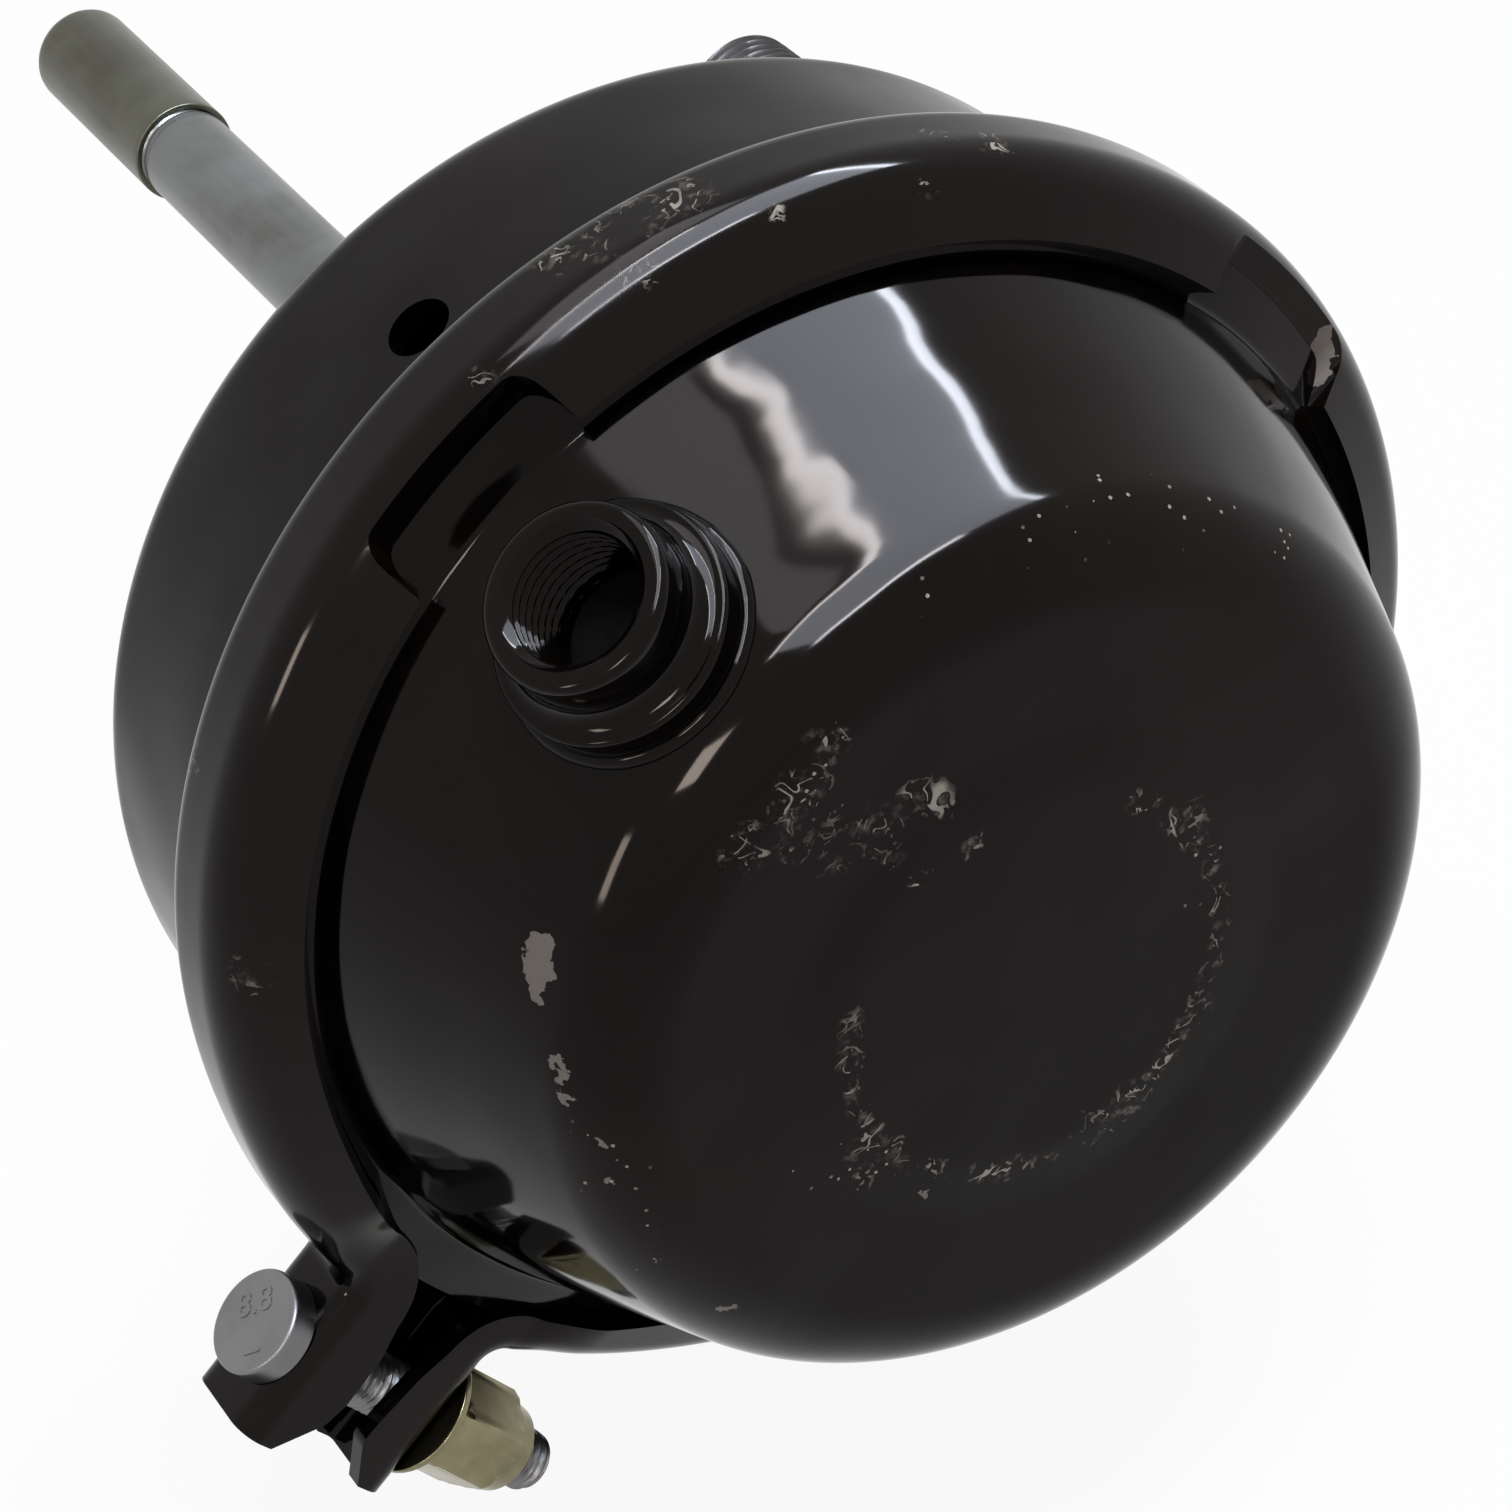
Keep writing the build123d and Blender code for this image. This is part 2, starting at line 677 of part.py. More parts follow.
# --- push rod: a round bar with a turned-down thread length at its end ---
with BuildPart() as push_rod:
    with BuildSketch(Plane.XY):
        with BuildLine():
            Polyline(
                (0, plate_back_y),
                (rod_r, plate_back_y),
                (rod_r, rod_tip - thread_length),
                (thread_r, rod_tip - thread_length),
                (thread_r, rod_tip - rod_chamfer),
                (thread_r - rod_chamfer, rod_tip),
                (0, rod_tip),
                close=True,
            )
        make_face()
    revolve(axis=Axis.Y)
push_rod.part.label = "push_rod"


# --- rod hub: the coned collar that ties the rod to the plate ---
with BuildPart() as rod_hub:
    with BuildSketch(Plane.XY):
        with BuildLine():
            Polyline(
                (rod_r, plate_back_y),
                (hub_r, plate_back_y),
                (hub_r, plate_back_y + hub_height - hub_slope),
                (hub_r - hub_slope, plate_back_y + hub_height),
                (rod_r, plate_back_y + hub_height),
                close=True,
            )
        make_face()
    revolve(axis=Axis.Y)
rod_hub.part.label = "rod_hub"


# --- hub weld: the fillet of weld that holds the hub on the plate ---
with BuildPart() as hub_weld:
    with BuildSketch(Plane.XY):
        with BuildLine():
            Polyline(
                (hub_r, plate_back_y),
                (hub_r + hub_weld_size, plate_back_y),
                (hub_r, plate_back_y + hub_weld_size),
                close=True,
            )
        make_face()
    revolve(axis=Axis.Y)
hub_weld.part.label = "hub_weld"


# --- rod cap: a smooth sleeve with a closed end, pushed over the rod's thread ---
cap_inner_r = thread_r + fit_gap
cap_outer_r = cap_inner_r + cap_wall
cap_floor_y = rod_tip + fit_gap
with BuildPart() as rod_cap:
    with BuildSketch(Plane.XY):
        with BuildLine():
            FilletPolyline(
                (cap_outer_r, rod_tip - cap_cover),
                (cap_outer_r, cap_floor_y + cap_end),
                (0, cap_floor_y + cap_end),
                radius=cap_edge_r,
            )
            Polyline(
                (0, cap_floor_y + cap_end),
                (0, cap_floor_y),
                (cap_inner_r, cap_floor_y),
                (cap_inner_r, rod_tip - cap_cover),
                (cap_outer_r, rod_tip - cap_cover),
            )
        make_face()
    revolve(axis=Axis.Y)
rod_cap.part.label = "rod_cap"


pieces = (
    pressure_housing,
    port_boss,
    port_weld,
    rear_housing,
    diaphragm,
    clamp_band,
    clamp_bolt,
    clamp_washer,
    clamp_nut,
    mounting_studs,
    stiffening_disc,
    rod_washer,
    spring_seat,
    return_spring,
    push_plate,
    push_rod,
    rod_hub,
    hub_weld,
    rod_cap,
)
for piece in pieces:
    export_step(piece.part, f"parts/{piece.part.label}.step")
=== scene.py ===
# %% [markdown]
# # An air brake chamber, piece by piece
# A brake chamber turns compressed air into push. Two steel housings hold a rubber diaphragm
# between them, a clamp ring keeps the joint shut, and a rod comes out of the rear face.
# The real pieces are drawn sheet, bent band and turned bar, so nearly every surface here is
# a profile turned about an axis or carried along a path. We work these out with numpy.

# %% Load the frame
import bpy
import bmesh
import numpy as np
from mathutils import Matrix, Vector


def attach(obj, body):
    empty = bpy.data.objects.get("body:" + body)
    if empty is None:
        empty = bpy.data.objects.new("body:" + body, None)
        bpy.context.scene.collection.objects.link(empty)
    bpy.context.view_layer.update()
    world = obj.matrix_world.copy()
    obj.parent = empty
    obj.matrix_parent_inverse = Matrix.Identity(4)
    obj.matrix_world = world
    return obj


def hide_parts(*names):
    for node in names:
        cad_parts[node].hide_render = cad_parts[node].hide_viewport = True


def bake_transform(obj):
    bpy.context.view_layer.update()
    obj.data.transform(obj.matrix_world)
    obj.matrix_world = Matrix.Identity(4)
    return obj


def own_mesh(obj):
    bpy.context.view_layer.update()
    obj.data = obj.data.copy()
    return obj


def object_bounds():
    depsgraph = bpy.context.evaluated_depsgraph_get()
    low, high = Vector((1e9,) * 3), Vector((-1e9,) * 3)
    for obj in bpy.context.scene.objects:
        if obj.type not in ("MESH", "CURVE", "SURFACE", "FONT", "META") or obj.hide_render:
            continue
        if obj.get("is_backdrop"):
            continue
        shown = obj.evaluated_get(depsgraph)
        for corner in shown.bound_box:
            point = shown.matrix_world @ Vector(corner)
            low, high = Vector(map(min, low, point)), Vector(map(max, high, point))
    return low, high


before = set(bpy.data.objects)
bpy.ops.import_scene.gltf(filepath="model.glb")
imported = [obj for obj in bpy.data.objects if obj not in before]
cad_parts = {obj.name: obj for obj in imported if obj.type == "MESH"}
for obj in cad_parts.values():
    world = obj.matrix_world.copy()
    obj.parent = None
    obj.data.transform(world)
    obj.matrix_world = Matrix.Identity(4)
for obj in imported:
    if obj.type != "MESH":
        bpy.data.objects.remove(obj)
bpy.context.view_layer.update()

# %% [markdown]
# ## The camera
# The camera looks down at the pressure side from the left, close enough for the rod to
# shrink with distance. We set its place and its three axes as one matrix, because
# that keeps the slight roll that an aimed camera would lose.

# %% Camera
camera_data = bpy.data.cameras.new("chamber_camera")
camera_data.sensor_width = 36.0
camera_data.lens = 112.83
camera_data.clip_start = 0.01
camera = bpy.data.objects.new("chamber_camera", camera_data)
camera.matrix_world = Matrix((
    (0.8697, 0.2743, -0.4104, -0.2384),
    (-0.4936, 0.4834, -0.7230, -0.4492),
    (0.0000, 0.8313, 0.5558, 0.3150),
    (0.0, 0.0, 0.0, 1.0),
))
bpy.context.scene.collection.objects.link(camera)
bpy.context.scene.camera = camera
print("camera distance", round(camera.location.length, 3))

# %% [markdown]
# ## From a grid of points to a piece
# A surface is a table of points: rows run one way, columns the other. Neighbouring points
# become four-sided faces. Three small helpers do the rest: one joins the grid up, one merges
# the points that meet at seams and poles, and one makes sure that faces point outwards, by
# the sign of the volume that they enclose.

# %% Grid helpers
MM = 0.001
MERGE = 2e-7


def grid_faces(rows, columns, close_rows=False, close_columns=False):
    """Faces of a grid: point (i, j) is number i * columns + j, and each face joins
    (i, j), (i+1, j), (i+1, j+1), (i, j+1). A closed direction wraps round to 0."""
    i = np.arange(rows if close_rows else rows - 1)[:, None]
    j = np.arange(columns if close_columns else columns - 1)[None, :]
    here, below = i * columns, (i + 1) % rows * columns
    right = (j + 1) % columns
    return np.stack([here + j, below + j, below + right, here + right], -1).reshape(-1, 4)


def enclosed_volume(points, faces):
    """Sum over faces of the signed volumes of the wedges from the origin to each triangle."""
    a, b, c, d = (points[faces[:, k]] for k in range(4))
    return (a * (np.cross(b, c) + np.cross(c, d))).sum() / 6


def show(name, data):
    """Puts a mesh, camera, lamp or text into the scene, as an object at the origin."""
    thing = bpy.data.objects.new(name, data)
    bpy.context.scene.collection.objects.link(thing)
    return thing


def make_piece(name, points, faces, material=None, sharp_deg=35.0):
    """A mesh object at the origin from points in millimetres and four-sided faces. Points
    closer than MERGE metres become one, which closes seams and poles."""
    points = np.asarray(points, float).reshape(-1, 3) * MM
    if enclosed_volume(points, faces) < 0:
        faces = faces[:, ::-1]
    mesh = bpy.data.meshes.new(name)
    mesh.from_pydata(points.tolist(), [], faces.tolist())
    work = bmesh.new()
    work.from_mesh(mesh)
    bmesh.ops.remove_doubles(work, verts=work.verts, dist=MERGE)
    bmesh.ops.dissolve_degenerate(work, edges=work.edges, dist=1e-8)
    work.to_mesh(mesh)
    work.free()
    mesh.shade_smooth()
    mesh.set_sharp_from_angle(angle=np.radians(sharp_deg))
    if material is not None:
        mesh.materials.append(material)
    print(name, len(mesh.vertices), "points", len(mesh.polygons), "faces")
    return show(name, mesh)


# %% [markdown]
# ## Profiles with rounded corners
# Bent sheet never has a sharp corner. We write a profile as straight runs and give each
# corner a radius. The helper replaces the corner with an arc and also returns the direction
# that faces out of the sheet at every point, so that the other side of the sheet is simply
# each point moved along that direction by the sheet's thickness.

# %% Profile helpers


def rounded(points, radii, step=1.2):
    """Straight runs whose corners are arcs. An arc starts radius * tan(turn / 2) before its
    corner. Returns the points and the unit normals to the left of the way the line runs."""
    points = np.asarray(points, float)
    out, normals = [], []

    def run(a, b):
        count = max(2, int(np.ceil(np.linalg.norm(b - a) / step)) + 1)
        along = (b - a) / np.linalg.norm(b - a)
        out.append(a + (b - a) * np.linspace(0, 1, count)[:, None])
        normals.append(np.tile([-along[1], along[0]], (count, 1)))

    start = points[0]
    for k in range(1, len(points) - 1):
        back = (points[k - 1] - points[k]) / np.linalg.norm(points[k - 1] - points[k])
        ahead = (points[k + 1] - points[k]) / np.linalg.norm(points[k + 1] - points[k])
        turn = np.pi - np.arccos(np.clip(back @ ahead, -1, 1))
        radius = radii[k - 1]
        cut = radius * np.tan(turn / 2)
        enter, leave = points[k] + back * cut, points[k] + ahead * cut
        run(start, enter)
        side = np.sign(back[1] * ahead[0] - back[0] * ahead[1])
        if radius > 0:
            centre = enter + side * radius * np.array([back[1], -back[0]])
            first = np.arctan2(*(enter - centre)[::-1])
            count = max(5, int(np.ceil(radius * turn / (step * 0.5))) + 1)
            angles = first + side * turn * np.linspace(0, 1, count)[1:-1]
            spokes = np.stack([np.cos(angles), np.sin(angles)], -1)
            out.append(centre + radius * spokes)
            normals.append(-side * spokes)
        start = leave
    run(start, points[-1])
    return np.vstack(out), np.vstack(normals)


def sheet_loop(points, radii, sheet, step=1.2):
    """A closed loop around bent sheet: the given side, then the same side moved by the
    thickness along its normals, in reverse. A negative sheet goes to the right."""
    line, normals = rounded(points, radii, step)
    return np.vstack([line, (line + normals * sheet)[::-1]])


def turn_angles(count):
    """Angles evenly round one turn, as a column."""
    return np.linspace(0, 2 * np.pi, count, endpoint=False)[:, None]


def lathe(name, loop, material, turns, closed=True):
    """Turns a profile of (radius, height) about the Y axis: (r cos t, y, r sin t)."""
    t = turn_angles(turns)
    r, y = loop[:, 0][None, :], loop[:, 1][None, :]
    points = np.stack([r * np.cos(t), y + 0 * t, r * np.sin(t)], -1)
    faces = grid_faces(turns, len(loop), close_rows=True, close_columns=closed)
    return make_piece(name, points, faces, material)


def spoke(clock_deg):
    """The unit vector straight out from the axis, clock angles turning from +X to +Z."""
    angle = np.radians(clock_deg)
    return np.array([np.cos(angle), 0.0, np.sin(angle)])

# %% [markdown]
# ## Shared effects for the finishes
# Most metal here shows the same few things: fine grain, soft blotches of colour, and dust
# that gathers in specks. Each effect is a node group with its own inputs, built once and
# placed in many materials. A group only puts out values that change over the surface.

# %% Node helpers


def new_group(name, outputs=("Mask",), points=("Vector",), **numbers):
    """An empty shader node group. points names its vector inputs, and numbers gives each
    number input its usual value. Returns the group, its inputs and its outputs."""
    group = bpy.data.node_groups.new(name, "ShaderNodeTree")
    for label in points:
        group.interface.new_socket(label, in_out="INPUT", socket_type="NodeSocketVector")
    for label, value in numbers.items():
        socket = group.interface.new_socket(label, in_out="INPUT", socket_type="NodeSocketFloat")
        socket.default_value = value
    for label in outputs:
        group.interface.new_socket(label, in_out="OUTPUT", socket_type="NodeSocketFloat")
    given = group.nodes.new("NodeGroupInput").outputs
    result = group.nodes.new("NodeGroupOutput").inputs
    return group, given, result


def feed(tree, node, links):
    """Sets a node's inputs from (input, source) pairs. A source is a socket or a value."""
    for label, source in links:
        if isinstance(source, bpy.types.NodeSocket):
            tree.links.new(source, node.inputs[label])
        else:
            node.inputs[label].default_value = source
    return node


def add(tree, kind, links=(), **settings):
    """A new node. settings set its properties, and links feed its inputs."""
    node = tree.nodes.new("ShaderNode" + kind)
    for key, value in settings.items():
        setattr(node, key, value)
    return feed(tree, node, links)


def combine(tree, first, second, operation="MULTIPLY"):
    """One Math node on two sockets or values."""
    return add(tree, "Math", [(0, first), (1, second)], operation=operation).outputs[0]


def noise_at(tree, place, scale, detail, **more):
    """A Noise Texture's value. more gives further inputs."""
    links = [("Vector", place), ("Scale", scale), ("Detail", detail), *more.items()]
    return add(tree, "TexNoise", links).outputs["Fac"]


def bump_from(tree, height, strength, distance, links=()):
    """A bumped normal. distance is the height, in metres, of a step from 0 to 1."""
    links = [("Height", height), ("Strength", strength), ("Distance", distance), *links]
    return add(tree, "Bump", links).outputs["Normal"]


# %% Blotches
blotch, given, result = new_group(
    "blotch", ("Mask", "Raw"), Scale=30.0, Low=0.4, High=0.7, Detail=5.0)
cloud = noise_at(blotch, given["Vector"], given["Scale"], given["Detail"], Roughness=0.6)
limits = [("Value", cloud), ("From Min", given["Low"]), ("From Max", given["High"])]
limit = add(blotch, "MapRange", limits, interpolation_type="SMOOTHSTEP")
blotch.links.new(limit.outputs["Result"], result["Mask"])
blotch.links.new(cloud, result["Raw"])

# %% Specks
# the middles of Voronoi cells, of which each cell's random colour keeps a share
specks, given, result = new_group("specks", Scale=400.0, Size=0.12, Amount=0.5)
cells = add(specks, "TexVoronoi", [("Vector", given["Vector"]), ("Scale", given["Scale"])]).outputs
small = combine(specks, cells["Distance"], given["Size"], "LESS_THAN")
lottery = add(specks, "SeparateColor", [("Color", cells["Color"])]).outputs[0]
chosen = combine(specks, lottery, given["Amount"], "LESS_THAN")
specks.links.new(combine(specks, small, chosen), result["Mask"])

# %% Spots
# 1 out to half the radius, and 0 from the radius on
spot, given, result = new_group("spot", points=("Vector", "Centre"), Radius=0.003)
away = add(spot, "VectorMath", [(0, given["Vector"]), (1, given["Centre"])], operation="DISTANCE")
share = combine(spot, away.outputs["Value"], given["Radius"], "DIVIDE")
near = [("Value", share), ("From Min", 0.5), ("To Min", 1.0), ("To Max", 0.0)]
spot.links.new(add(spot, "MapRange", near).outputs["Result"], result["Mask"])

# %% Hair lines
# a line runs where noise passes through its middle value, with gaps from a finer noise
hair, given, result = new_group("hair", Scale=130.0, Width=0.012, Gaps=0.5)
line_noise = noise_at(hair, given["Vector"], given["Scale"], 1.0, Distortion=0.8)
off_line = combine(hair, line_noise, 0.5, "SUBTRACT")
off_line = add(hair, "Math", [(0, off_line)], operation="ABSOLUTE").outputs[0]
thin = combine(hair, off_line, given["Width"], "LESS_THAN")
kept = combine(hair, noise_at(hair, given["Vector"], 520.0, 2.0), given["Gaps"], "GREATER_THAN")
hair.links.new(combine(hair, thin, kept), result["Mask"])

# %% Material helpers


def use_group(tree, group, **values):
    """Places a node group and sets its inputs, from sockets or plain values."""
    node = tree.nodes.new("ShaderNodeGroup")
    node.node_tree = group
    return feed(tree, node, values.items()).outputs


def new_material(name, **constants):
    """A material with one Principled shader. Constants go straight onto its sockets.
    Returns the material, its node tree, the shader's inputs and the object coordinates."""
    material = bpy.data.materials.new(name)
    material.use_nodes = True
    tree = material.node_tree
    shader = tree.nodes["Principled BSDF"].inputs
    for label, value in constants.items():
        shader[label.replace("_", " ")].default_value = value
    return material, tree, shader, add(tree, "TexCoord").outputs["Object"]


def mix_color(tree, mask, low, high):
    """low where the mask is 0, high where it is 1. A colour Mix's sockets are 0, 6 and 7."""
    return add(tree, "Mix", [(0, mask), (6, low), (7, high)], data_type="RGBA").outputs[2]


def mix_value(tree, mask, low, high):
    """The same for plain numbers."""
    links = [("Value", mask), ("To Min", low), ("To Max", high)]
    return add(tree, "MapRange", links).outputs["Result"]


# %% [markdown]
# ## Wear marks
# Handling leaves three kinds of mark in paint: hair scratches and specks inside a rubbed
# area, and chips that show the pale undercoat. Each area is a soft ball about a point of the
# surface, (x, y, z, radius) in millimetres. Noise bends its edge, and the union of the balls,
# the largest of their masks, gives the area.

# %% Wear marks


def area(tree, place, balls, bend=0.004, grain=300.0):
    """Mask of the union of soft balls, with edges that noise shifts by about bend / 2 metres."""
    ripple = add(tree, "TexNoise", [("Vector", place), ("Scale", grain), ("Detail", 4.0)])
    shift = ripple.outputs["Color"]
    for second, value, operation in ((1, (0.5, 0.5, 0.5), "SUBTRACT"), ("Scale", bend, "SCALE")):
        links = [(0, shift), (second, value)]
        shift = add(tree, "VectorMath", links, operation=operation).outputs[0]
    bent = add(tree, "VectorMath", [(0, place), (1, shift)], operation="ADD").outputs[0]
    total = 0.0
    for x, y, z, radius in balls:
        centre = (x * MM, y * MM, z * MM)
        one = use_group(tree, spot, Vector=bent, Centre=centre, Radius=radius * MM)["Mask"]
        total = combine(tree, one, total, "MAXIMUM")
    return total


# %% [markdown]
# ## Gloss black paint
# The housings are dipped in thin black paint. What we see is mostly reflection, bent by a
# faint orange-peel ripple. The paint itself is a warm black with slightly browner
# blotches, dull patches where it has been handled, and the wear marks on top.

# %% Gloss black paint
PAINT_BLACK, PAINT_BROWN = (0.0013, 0.0010, 0.0009, 1), (0.0040, 0.0028, 0.0020, 1)
MARK_GREY, UNDERCOAT = (0.36, 0.32, 0.27, 1), (0.20, 0.172, 0.150, 1)


def scratches(tree, place):
    """Mask of coarse and fine hair lines and a little dust, and the patches that keep them."""
    coarse = use_group(tree, hair, Vector=place)["Mask"]
    fine = use_group(tree, hair, Vector=place, Scale=310.0, Width=0.02, Gaps=0.53)["Mask"]
    dust = use_group(tree, blotch, Vector=place, Scale=700.0, Low=0.5, High=0.72)["Mask"]
    lines = combine(tree, coarse, fine, "MAXIMUM")
    lines = combine(tree, lines, combine(tree, dust, 0.38), "MAXIMUM")
    patchy = use_group(tree, blotch, Vector=place, Scale=120.0, Low=0.38, High=0.6)["Mask"]
    return lines, patchy


def black_paint(name, rough=0.07, waves=0.22, ior=1.22, rubbed=(), speckled=(), chipped=()):
    """Gloss paint: blotchy colour, patchy roughness, an orange-peel bump and wear marks.
    rubbed, speckled and chipped are lists of balls."""
    material, tree, shader, place = new_material(name, IOR=ior, Specular_Tint=(1.0, 0.88, 0.84, 1))
    tone = use_group(tree, blotch, Vector=place, Scale=14.0, Low=0.42, High=0.68)["Mask"]
    color = mix_color(tree, tone, PAINT_BLACK, PAINT_BROWN)
    handled = use_group(tree, blotch, Vector=place, Scale=38.0, Low=0.45, High=0.75)["Mask"]
    dull = mix_value(tree, handled, rough, rough + 0.07)
    worn = 0.0
    if rubbed:
        lines, patchy = scratches(tree, place)
        worn = combine(tree, combine(tree, area(tree, place, rubbed), lines), patchy)
    if speckled:
        dots = use_group(tree, specks, Vector=place, Scale=850.0, Size=0.20, Amount=0.28)["Mask"]
        worn = combine(tree, combine(tree, area(tree, place, speckled), dots), worn, "MAXIMUM")
    if rubbed or speckled:
        color = mix_color(tree, worn, color, MARK_GREY)
        dull = combine(tree, dull, combine(tree, worn, 0.5), "MAXIMUM")
    if chipped:
        bare = combine(tree, area(tree, place, chipped, 0.0042, 620.0), 0.25, "GREATER_THAN")
        color = mix_color(tree, bare, color, UNDERCOAT)
        dull = combine(tree, dull, combine(tree, bare, 0.55), "MAXIMUM")
    tree.links.new(color, shader["Base Color"])
    tree.links.new(dull, shader["Roughness"])
    peel = bump_from(tree, noise_at(tree, place, 150.0, 1.0), 0.010, 0.002)
    drawn = bump_from(tree, noise_at(tree, place, 38.0, 1.0), waves, 0.004, [("Normal", peel)])
    tree.links.new(drawn, shader["Normal"])
    return material


# %% Paint and its marks
# the raised disc's edge has rubbed on what the part stood on, round most of its length
EDGE_DEGREES = [*range(-150, 62, 5), *range(168, 206, 5)]
edge_marks = [(-0.5 + 24.4 * np.cos(np.radians(d)), -93.8, -1.6 + 24.6 * np.sin(np.radians(d)), 1.9)
              for d in EDGE_DEGREES]
BOWL_RUBBED = [
    (-27.3, -93.1, 39.7, 3.0), (-31.1, -93.3, 34.1, 4.2), (-37.1, -93.2, 29.7, 3.6),
    (-32.3, -93.3, 29.4, 3.6), (-27.3, -93.3, 23.8, 2.6), (-25.0, -93.3, 29.0, 3.4),
    (-21.2, -93.3, 26.8, 3.6), (-17.0, -93.3, 29.5, 2.6), (-13.7, -93.3, 28.2, 2.6),
    (-9.4, -93.8, 21.1, 1.8), (-16.3, -93.8, 18.9, 1.6), (-19.5, -93.3, 22.5, 1.8),
    (13.0, -93.8, -22.4, 3.4), (8.5, -93.8, -24.5, 3.2), (22.6, -93.8, -11.0, 2.8),
    (-22.0, -93.7, -16.0, 3.2), (-21.9, -93.6, -20.4, 2.6), (19.5, -93.8, 14.8, 3.0)]
BOWL_SPECKLED = [
    (-53.0, -90.4, -10.4, 5.0), (-54.0, -90.2, -4.6, 4.0), (-51.7, -90.1, -16.7, 4.5),
    (-47.9, -90.9, -23.4, 3.0), (10.8, -87.1, 55.9, 5.5), (18.9, -88.7, 52.4, 5.0),
    (25.0, -86.6, 51.5, 4.5), (32.2, -89.2, 44.9, 3.5), (2.0, -90.1, 54.4, 5.0),
    (-13.3, -90.7, 52.0, 3.0), (-22.5, -93.7, -17.5, 6.0), (-30.0, -93.3, -16.0, 3.5),
    (-28.0, -93.2, 36.0, 6.0), (20.0, -93.8, 8.0, 6.0)]
BOWL_CHIPPED = [
    (-56.5, -82.1, 17.2, 2.2), (-57.0, -82.4, 14.8, 2.4), (-57.6, -82.7, 12.1, 1.7),
    (-57.1, -86.4, 4.6, 1.1), (-57.0, -86.8, 2.8, 1.0), (-56.7, -87.4, 0.0, 0.9),
    (-54.3, -90.0, -5.0, 0.7), (-53.0, -90.4, -10.4, 0.8), (-39.1, -92.1, -33.2, 1.0),
    (-47.9, -90.9, -23.4, 0.6), (-14.5, -93.6, -25.6, 0.7), (20.0, -93.8, 14.5, 0.6)]
bowl_paint = black_paint("bowl_paint", rubbed=edge_marks + BOWL_RUBBED, speckled=BOWL_SPECKLED,
                         chipped=BOWL_CHIPPED)

RING_RUBBED = [
    (-22.5, -43.3, 78.2, 5.0), (-27.5, -43.5, 76.6, 4.5), (-18.0, -44.2, 79.4, 4.5),
    (-9.8, -51.7, 79.2, 1.4), (8.2, -52.3, 78.2, 1.8), (-26.6, -50.9, 76.2, 3.0),
    (-77.9, -52.6, 2.2, 3.0), (-45.4, -49.5, 67.5, 2.2), (19.2, -48.0, 79.1, 3.0),
    (14.6, -44.8, 80.1, 2.6), (-33.0, -41.0, 74.4, 4.0), (-77.9, -39.7, 23.4, 3.0)]
RING_CHIPPED = [
    (65.0, -50.7, 41.4, 2.4), (65.6, -50.7, 43.2, 1.5), (64.5, -51.4, 39.1, 1.8),
    (-9.8, -51.7, 79.2, 0.5), (8.2, -52.3, 78.2, 0.4), (-45.4, -49.5, 67.5, 0.5)]
band_paint = black_paint("band_paint", rough=0.09, ior=1.25, waves=0.12, rubbed=RING_RUBBED,
                         chipped=RING_CHIPPED)
rear_paint = black_paint("rear_paint", rough=0.17)

# %% [markdown]
# ## Plated steel
# Zinc plate is a pale metal with a soft bluish or yellow film. Drawn bar keeps fine lines
# along its length, which we get from noise that is stretched along the Y axis.

# %% Plated steel
EVEN, DRAWN = (90.0, 90.0, 90.0), (600.0, 12.0, 600.0)


def plated(name, light, dark, rough, stretch=EVEN, blotches=60.0):
    """Plated metal: two tones in blotches, and lines from noise scaled by stretch."""
    material, tree, shader, place = new_material(name, Metallic=1.0)
    tone = use_group(tree, blotch, Vector=place, Scale=blotches, Low=0.35, High=0.7)["Mask"]
    stretched = add(tree, "Mapping", [("Vector", place), ("Scale", stretch)]).outputs[0]
    lines = noise_at(tree, stretched, 1.0, 4.0)
    tree.links.new(mix_color(tree, combine(tree, tone, lines), light, dark), shader["Base Color"])
    tree.links.new(mix_value(tree, lines, rough - 0.08, rough + 0.12), shader["Roughness"])
    tree.links.new(bump_from(tree, lines, 0.02, 0.001), shader["Normal"])
    return material


rod_zinc = plated("rod_zinc", (0.17, 0.175, 0.175, 1), (0.075, 0.075, 0.062, 1), 0.30, DRAWN)
cap_zinc = plated("cap_zinc", (0.105, 0.105, 0.080, 1), (0.045, 0.043, 0.031, 1), 0.30, DRAWN)
bolt_zinc = plated("bolt_zinc", (0.20, 0.195, 0.20, 1), (0.12, 0.115, 0.115, 1), 0.34)
yellow_zinc = plated("yellow_zinc", (0.26, 0.235, 0.14, 1), (0.035, 0.030, 0.016, 1), 0.20)
stud_steel = plated("stud_steel", (0.08, 0.075, 0.075, 1), (0.03, 0.03, 0.03, 1), 0.4)
inner_steel = plated("inner_steel", (0.30, 0.30, 0.31, 1), (0.14, 0.13, 0.12, 1), 0.4)
spring_coat = plated("spring_coat", (0.05, 0.05, 0.055, 1), (0.02, 0.02, 0.02, 1), 0.4)

# %% Rubber, darkened as painted shade
rubber_and_painted_shade, tree, shader, place = new_material("rubber_and_painted_shade", Roughness=0.7, IOR=1.15)
weave = use_group(tree, blotch, Vector=place, Scale=500.0, Low=0.3, High=0.7)
# near-black rubber, made darker still so that the diaphragm at the foot of the port's bore, where a
# lamp shines in, shows black: painted shade
tree.links.new(mix_color(tree, weave["Mask"], (0.004, 0.004, 0.004, 1), (0.010, 0.009, 0.009, 1)),
               shader["Base Color"])
tree.links.new(bump_from(tree, weave["Raw"], 0.2, 0.0005), shader["Normal"])

# %% [markdown]
# ## The two housings
# Both are drawn from flat sheet: a flange that leans into the clamp, a wall, and an end.
# The sizes repeat those of the solid model. The flange lies against the inside of the
# clamp's legs, 27 degrees from square to the axis.

